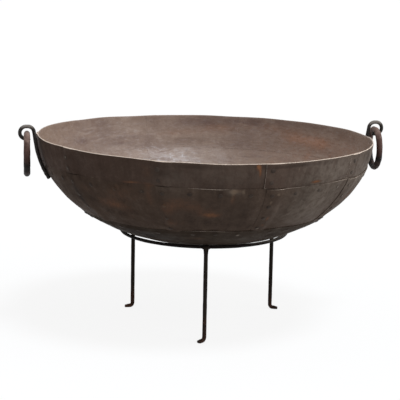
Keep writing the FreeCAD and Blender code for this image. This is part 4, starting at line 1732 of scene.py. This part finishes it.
@dataclass(frozen=True)
class OutsideFinish:
    """Smoke-darkened iron sheet with soft rust, dust and soot, painted light and painted shade, worn bright
    along its edges, partly as a painted highlight.
    """

    name: str
    tones: Tones
    shine: float = 0.05
    # Dust with painted light, and soot with painted shade.
    dust_and_light: Shade = (126, 115, 105)
    sooty: Shade = (36, 28, 24)
    rust_bright: Shade = (128, 86, 58)
    rust_deep: Shade = (92, 67, 53)
    scuffed: Shade = (122, 106, 90)
    rubbed_and_lit: Shade = (226, 208, 192)
    bare_metal: float = 0.3

    def build(self, effects: Effects) -> Material:
        """Builds the material.

        Args:
            effects: Shared effects.

        Returns:
            The material.
        """
        coats = IronCoats(self.name, effects, self.tones, size=8.0)
        wiring = coats.wiring
        # Pale dust with painted light, then soot with painted shade beside the stems, in the lap groove and
        # low on the base.
        coats.zone(Mark.PALE, 70.0, self.dust_and_light)
        coats.zone(Mark.SOOT, 34.0, self.sooty)
        drips = coats.streaks((60.0, 7.0, 1.0), detail=4.0, rough=0.6, bend=0.5)
        coats.lay(wiring.spread(drips, low=0.45, high=0.75, last=0.22), self.sooty)
        coats.rust(wiring.mark(Mark.RUST), self.rust_bright, self.rust_deep)
        coats.rub(wiring.mark(Mark.SCUFF), self.scuffed, gaps=0.5, share=0.6)
        # Edges worn bright, partly as a painted highlight.
        bare = coats.rub(wiring.mark(Mark.EDGE), self.rubbed_and_lit)
        wiring.feed(coats.shader.inputs["Metallic"], wiring.sum(Sum.TIMES, bare, self.bare_metal))
        rough = wiring.spread(coats.tone, low=0.0, high=1.0, first=0.8, last=0.6)
        return coats.finish(rough, self.shine, size=140.0, strength=0.35, depth=0.0012)


@dataclass(frozen=True)
class InsideFinish:
    """Scoured inside of the bowl: a smooth brown skin that takes a sheen, with more sheen painted on the far
    wall and painted light on its sides, smeared along the wall.
    """

    name: str = "scoured_inside_iron"
    tones: Tones = Tones((114, 92, 78), (133, 110, 94), (149, 128, 111))
    shine: float = 0.7
    pale: Shade = (146, 123, 105)
    sooty: Shade = (96, 72, 63)
    rust_bright: Shade = (158, 108, 76)
    rust_deep: Shade = (126, 87, 62)
    flecked: Shade = (92, 62, 48)
    # Light scouring, and the colour of the painted sheen on the far wall.
    scuffed: Shade = (186, 182, 186)
    rubbed_and_lit: Shade = (196, 178, 162)

    def build(self, effects: Effects) -> Material:
        """Builds the material.

        Args:
            effects: Shared effects.

        Returns:
            The material.
        """
        coats = IronCoats(self.name, effects, self.tones, size=11.0)
        wiring = coats.wiring
        # Pale zones, partly painted light on the left and right walls.
        coats.zone(Mark.PALE, 14.0, self.pale)
        soot = coats.zone(Mark.SOOT, 22.0, self.sooty)
        smears = coats.streaks((12.0, 70.0, 1.0), detail=4.0, rough=0.6, bend=0.8)
        coats.lay(wiring.spread(smears, low=0.55, high=0.72, last=0.4), self.pale)
        coats.lay(wiring.spread(smears, low=0.3, high=0.45, first=0.42, last=0.0), self.sooty)
        stain, scour_and_sheen = wiring.mark(Mark.RUST), wiring.mark(Mark.SCUFF)
        coats.rust(stain, self.rust_bright, self.rust_deep, share=0.8)
        flecks = coats.streaks((55.0, 170.0, 1.0), detail=5.0, rough=0.7, bend=0.7)
        dark = wiring.spread(flecks, low=0.5, high=0.7)
        stained = wiring.sum(Sum.TIMES_PLUS, stain, 0.4, 0.22)
        coats.lay(wiring.sum(Sum.TIMES, dark, stained), self.flecked)
        # Light flecks where the scuff mask is strong, streaking the painted sheen.
        light = wiring.spread(flecks, low=0.5, high=0.3)
        scoured_and_sheen = wiring.sum(Sum.TIMES_PLUS, scour_and_sheen, 0.8, 0.12)
        coats.lay(wiring.sum(Sum.TIMES, light, scoured_and_sheen), self.scuffed)
        # Scouring and painted sheen along the scuff mask.
        coats.rub(scour_and_sheen, self.scuffed, gaps=0.6, share=0.4)
        coats.rub(wiring.mark(Mark.EDGE), self.rubbed_and_lit)
        smear_rough = wiring.spread(smears, low=0.3, high=0.7, first=0.42, last=0.29)
        fleck_rough = wiring.spread(flecks, low=0.35, high=0.65, last=0.16)
        worn = wiring.sum(Sum.PLUS, smear_rough, fleck_rough)
        rough = wiring.sum(Sum.TIMES_PLUS, soot, 0.2, worn)
        return coats.finish(rough, self.shine, size=120.0, strength=0.18, depth=0.001)


@dataclass(frozen=True)
class ForgedFinish:
    """Blackened bar iron, with worn high places and painted highlights, painted shade where the mesh marks
    it, and a little rust.
    """

    name: str
    tones: Tones
    rubbed_and_lit: Shade
    rub_share: float
    rust_share: float
    shine: float = 0.14
    sooty: Shade = (26, 22, 21)
    rust_bright: Shade = (126, 82, 52)
    rust_deep: Shade = (82, 54, 42)

    def build(self, effects: Effects) -> Material:
        """Builds the material.

        Args:
            effects: Shared effects.

        Returns:
            The material.
        """
        coats = IronCoats(self.name, effects, self.tones, size=22.0)
        wiring, place = coats.wiring, coats.place
        bare = wiring.noise(place, scale=26.0, detail=3.0, rough=0.6)
        bare = wiring.spread(bare, low=0.5, high=0.75, last=self.rust_share)
        amount = wiring.sum(Sum.PLUS, bare, wiring.mark(Mark.RUST))
        coats.rust(amount, self.rust_bright, self.rust_deep)
        # Painted shade where the soot mask is set: the hoop under the bowl and the lower parts of the rings.
        coats.zone(Mark.SOOT, 40.0, self.sooty)
        high = wiring.noise(place, scale=90.0, detail=4.0, rough=0.6)
        high = wiring.spread(high, low=0.46, high=0.7, last=self.rub_share)
        # Worn high places, and painted light and highlights where the edge mask is set.
        coats.rub(wiring.sum(Sum.PLUS, high, wiring.mark(Mark.EDGE)), self.rubbed_and_lit)
        rough = wiring.spread(coats.tone, low=0.0, high=1.0, first=0.7, last=0.5)
        return coats.finish(rough, self.shine, size=240.0, strength=0.4, depth=0.0008)


@dataclass(frozen=True)
class RivetFinish:
    """Peened rivet iron: dark skirts, some crowns worn bright, partly as a slight painted highlight."""

    name: str = "peened_rivet_iron"
    tones: Tones = Tones((42, 34, 30), (58, 48, 42), (76, 65, 57))
    shine: float = 0.08
    dust_and_light: Shade = (96, 86, 78)
    rust_bright: Shade = (140, 94, 54)
    rust_deep: Shade = (98, 68, 46)
    rubbed_and_lit: Shade = (112, 100, 88)

    def build(self, effects: Effects) -> Material:
        """Builds the material.

        Args:
            effects: Shared effects.

        Returns:
            The material.
        """
        coats = IronCoats(self.name, effects, self.tones, size=16.0)
        wiring = coats.wiring
        # Pale dust, and painted light on the side towards the side lamp.
        coats.zone(Mark.PALE, 26.0, self.dust_and_light)
        coats.rust(wiring.mark(Mark.RUST), self.rust_bright, self.rust_deep)
        # Some crowns worn lighter: wear and a slight painted highlight.
        which = wiring.noise(coats.place, scale=6.0, detail=2.0, rough=0.5)
        which = wiring.spread(which, low=0.5, high=0.68, last=0.8)
        coats.rub(wiring.sum(Sum.TIMES, wiring.mark(Mark.EDGE), which), self.rubbed_and_lit)
        rough = wiring.spread(coats.tone, low=0.0, high=1.0, first=0.7, last=0.5)
        return coats.finish(rough, self.shine, size=260.0, strength=0.4, depth=0.0008)


@dataclass(frozen=True)
class Lamp:
    """A broad, far light: direction towards it in degrees, its width and its strength."""

    name: str
    azimuth: float
    elevation: float
    width: float
    strength: float
    colour: Triple


@dataclass(frozen=True)
class Studio:
    """Pale floor, soft light and the camera."""

    focal_share: float = 1433.0 / 400.0
    sensor: float = 36.0
    azimuth: float = -13.0
    elevation: float = 10.896
    distance: float = 3462.6
    side: float = -10.7
    height: float = 295.7
    roll: float = 1.108
    far_clip: float = 200.0
    ambient: float = 0.5
    ambient_tone: float = 0.98
    floor_half: float = 40.0
    floor_tone: float = 0.55
    floor_glow: float = 0.87
    floor_rough: float = 0.9
    lamps: tuple[Lamp, ...] = (
        Lamp("key", 44.0, 70.0, 17.0, 1.5, (0.92, 0.99, 1.08)),
        Lamp("side", 76.0, 24.0, 50.0, 1.1, (1.0, 0.99, 0.97)),
    )

    def build(self) -> None:
        """Adds the camera, the lamps, the surroundings and the floor."""
        bpy.context.scene.view_settings.view_transform = "Standard"
        self.camera()
        self.light()
        self.surroundings()
        self.floor()

    @staticmethod
    def directions(azimuth: float, elevation: float) -> tuple[Vector, Vector, Vector]:
        """Right, up and back directions of a viewer.

        Args:
            azimuth: Azimuth of the viewer in degrees.
            elevation: Elevation of the viewer in degrees.

        Returns:
            The three directions.
        """
        turn, rise = math.radians(azimuth), math.radians(elevation)
        back = Vector((math.sin(turn) * math.cos(rise), -math.cos(turn) * math.cos(rise), math.sin(rise)))
        right = Vector((math.cos(turn), math.sin(turn), 0.0))
        return right, back.cross(right), back

    def camera(self) -> None:
        """Adds the camera, rolled a little about its line of sight."""
        data = bpy.data.cameras.new("camera")
        data.lens, data.sensor_width = self.focal_share * self.sensor, self.sensor
        data.clip_end = self.far_clip
        camera = bpy.data.objects.new("camera", data)
        right, up, back = self.directions(self.azimuth, self.elevation)
        roll = math.radians(self.roll)
        tilted_right = math.cos(roll) * right + math.sin(roll) * up
        tilted_up = math.cos(roll) * up - math.sin(roll) * right
        target = (self.side * right + Vector((0.0, 0.0, self.height))) * MM
        turn = Matrix((tilted_right, tilted_up, back)).transposed()
        camera.matrix_world = Matrix.Translation(target + back * self.distance * MM) @ turn.to_4x4()
        bpy.context.scene.collection.objects.link(camera)
        bpy.context.scene.camera = camera

    def light(self) -> None:
        """Adds the lamps, each with its light coming from its direction."""
        for lamp in self.lamps:
            data = bpy.data.lights.new(lamp.name, "SUN")
            data.energy, data.angle, data.color = lamp.strength, math.radians(lamp.width), lamp.colour
            light = bpy.data.objects.new(lamp.name, data)
            right, up, back = self.directions(self.azimuth + lamp.azimuth, lamp.elevation)
            light.matrix_world = Matrix((right, up, back)).transposed().to_4x4()
            bpy.context.scene.collection.objects.link(light)

    def surroundings(self) -> None:
        """Even pale light from all round, white to the camera and to reflections."""
        world = bpy.data.worlds.new("surroundings")
        world.use_nodes = True
        bpy.context.scene.world = world
        wiring, nodes = Wiring(world.node_tree), world.node_tree.nodes
        light = nodes["Background"]
        light.inputs["Color"].default_value = (*[self.ambient_tone] * 3, 1.0)
        light.inputs["Strength"].default_value = self.ambient
        seen = wiring.add("ShaderNodeBackground", {"Color": WHITE, "Strength": 1.0})
        self.mixed(wiring, self.seen_directly(wiring), light, seen, nodes["World Output"])

    @staticmethod
    def mixed(wiring: Wiring, share: Socket, first: Node, second: Node, end: Node) -> None:
        """Joins two shaders to an output.

        Args:
            wiring: Wiring of the tree.
            share: Share of the second shader.
            first: First shader.
            second: Second shader.
            end: Output node.
        """
        mix = wiring.add("ShaderNodeMixShader", {"Fac": share})
        wiring.feed(mix.inputs[1], first.outputs[0])
        wiring.feed(mix.inputs[2], second.outputs[0])
        wiring.feed(end.inputs["Surface"], mix.outputs[0])

    @staticmethod
    def seen_directly(wiring: Wiring) -> Socket:
        """One for rays from the camera, from reflections and through glass.

        Args:
            wiring: Wiring of the tree.

        Returns:
            The mask.
        """
        path = wiring.add("ShaderNodeLightPath").outputs
        shiny = wiring.sum(Sum.LARGER, path["Is Glossy Ray"], path["Is Transmission Ray"])
        return wiring.sum(Sum.LARGER, path["Is Camera Ray"], shiny)

    def floor(self) -> None:
        """Adds the floor, mostly its own white to the camera so that only a soft shadow shows."""
        half = self.floor_half
        corners = [(-half, -half, 0), (half, -half, 0), (half, half, 0), (-half, half, 0)]
        mesh = bpy.data.meshes.new("floor")
        mesh.from_pydata(corners, [], [(0, 1, 2, 3)])
        material, wiring, shader = new_material("floor_white")
        direct = self.seen_directly(wiring)
        bounced = (*[self.floor_tone] * 3, 1.0)
        wiring.feed(shader.inputs["Base Color"], wiring.blend(direct, bounced, WHITE))
        shader.inputs["Roughness"].default_value = self.floor_rough
        shader.inputs["Specular IOR Level"].default_value = 0.0
        glow = wiring.add("ShaderNodeEmission", {"Color": WHITE, "Strength": 1.0})
        share = wiring.sum(Sum.TIMES, direct, self.floor_glow)
        self.mixed(wiring, share, shader, glow, material.node_tree.nodes["Material Output"])
        mesh.materials.append(material)
        floor = bpy.data.objects.new("floor", mesh)
        bpy.context.scene.collection.objects.link(floor)


@dataclass(frozen=True)
class FirePit:
    """The whole object: plates, rivets, handles, rings and stand, and their finishes."""

    form: BowlForm = BowlForm()
    weather_and_light: SheetWeatherAndLight = SheetWeatherAndLight()
    rim: PlateCourse = PlateCourse(
        node="rim_plate", slot=Slot.RIM, edge_azimuth=312.0, top=0.0, strip_end=55.47, bottom=86.97,
        inner=RIM_INNER, outer=0.0, seed=71,
        # Top edge worn bright: wear and a painted highlight, varied round the rim and taken away on the far
        # side.
        top_rub=EdgeRub(0.8, ((200.0, 40.0, 0.2), (250.0, 30.0, -0.1), (77.0, 60.0, -0.5))),
        side_rub=EdgeRub(0.0, ((276.0, 5.0, 0.5), (312.0, 4.0, 0.55), (132.0, 4.0, 0.4))),
        inner_rub=0.5,
        top_beat=EdgeRub(0.0),
        side_beat=EdgeRub(0.9, ((276.0, 8.0, -0.5), (100.0, 40.0, -0.7))),
        edge=SheetEdge(worn=1.7),
    )
    wall: PlateCourse = PlateCourse(
        node="wall_plate", slot=Slot.WALL, edge_azimuth=313.0, top=56.97, strip_end=197.57, bottom=229.07,
        inner=WALL_INNER, outer=WALL_OUTER, seed=72,
        top_rub=EdgeRub(0.0, (
            (259.0, 12.0, 0.6), (284.0, 9.0, 0.55), (312.0, 16.0, 0.5), (352.0, 20.0, 0.4),
            (100.0, 24.0, 0.4),
        )),
        side_rub=EdgeRub(0.0, ((205.0, 4.0, 0.14), (313.0, 4.0, 0.4), (61.0, 4.0, 0.4))),
        inner_rub=0.0,
        top_beat=EdgeRub(0.97, (
            (268.0, 14.0, -0.35), (306.0, 26.0, -0.75), (345.0, 30.0, -0.6), (90.0, 50.0, -0.6),
        )),
        side_beat=EdgeRub(0.85, (
            (205.0, 8.0, -0.5), (313.0, 8.0, -0.35), (349.0, 10.0, -0.4), (90.0, 50.0, -0.5),
        )),
    )
    base: BaseDish = BaseDish()
    seams: Seams = Seams()
    handles: HandlePair = HandlePair()
    stand: RodStand = RodStand()
    inside_iron: InsideFinish = InsideFinish()
    rim_iron: OutsideFinish = OutsideFinish(
        "rim_sheet_iron", Tones((60, 47, 40), (73, 58, 50), (87, 71, 62))
    )
    wall_iron: OutsideFinish = OutsideFinish(
        "wall_sheet_iron", Tones((58, 46, 39), (72, 58, 49), (87, 72, 62))
    )
    base_iron: OutsideFinish = OutsideFinish(
        "base_sheet_iron", Tones((44, 35, 28), (55, 45, 37), (67, 56, 47)), shine=0.03
    )
    rivet_iron: RivetFinish = RivetFinish()
    rod_iron: ForgedFinish = ForgedFinish(
        "handle_rod_iron", Tones((30, 27, 25), (46, 42, 39), (72, 66, 62)),
        rubbed_and_lit=(120, 113, 107), rub_share=0.3, rust_share=0.25,
    )
    ring_iron: ForgedFinish = ForgedFinish(
        "ring_rubbed_and_lit_iron", Tones((58, 42, 38), (80, 58, 52), (102, 80, 72)),
        rubbed_and_lit=(130, 108, 99), rub_share=0.3, rust_share=0.3,
    )
    stand_iron: ForgedFinish = ForgedFinish(
        "stand_rod_iron", Tones((28, 24, 21), (40, 35, 31), (54, 47, 43)),
        rubbed_and_lit=(92, 85, 79), rub_share=0.08, rust_share=0.2, shine=0.04,
    )

    def build(self, effects: Effects) -> None:
        """Builds every piece with its finish.

        Args:
            effects: Shared effects.
        """
        inside = self.inside_iron.build(effects)
        sheets = (self.rim, self.rim_iron), (self.wall, self.wall_iron), (self.base, self.base_iron)
        for part, finish in sheets:
            part.build(self.form, self.weather_and_light, (finish.build(effects), inside))
        rivet_finishes = self.rivet_iron.build(effects), inside
        for row in self.seams.rows():
            row.build(self.form, self.weather_and_light, rivet_finishes)
        self.handles.build(self.form, (self.rod_iron.build(effects),), (self.ring_iron.build(effects),))
        self.stand.build((self.stand_iron.build(effects),))


def main() -> None:
    """Builds the studio and the fire pit."""
    logging.basicConfig(level=logging.INFO, format="%(name)s: %(message)s")
    Studio().build()
    FirePit().build(Effects())


if __name__ == "__main__":
    main()
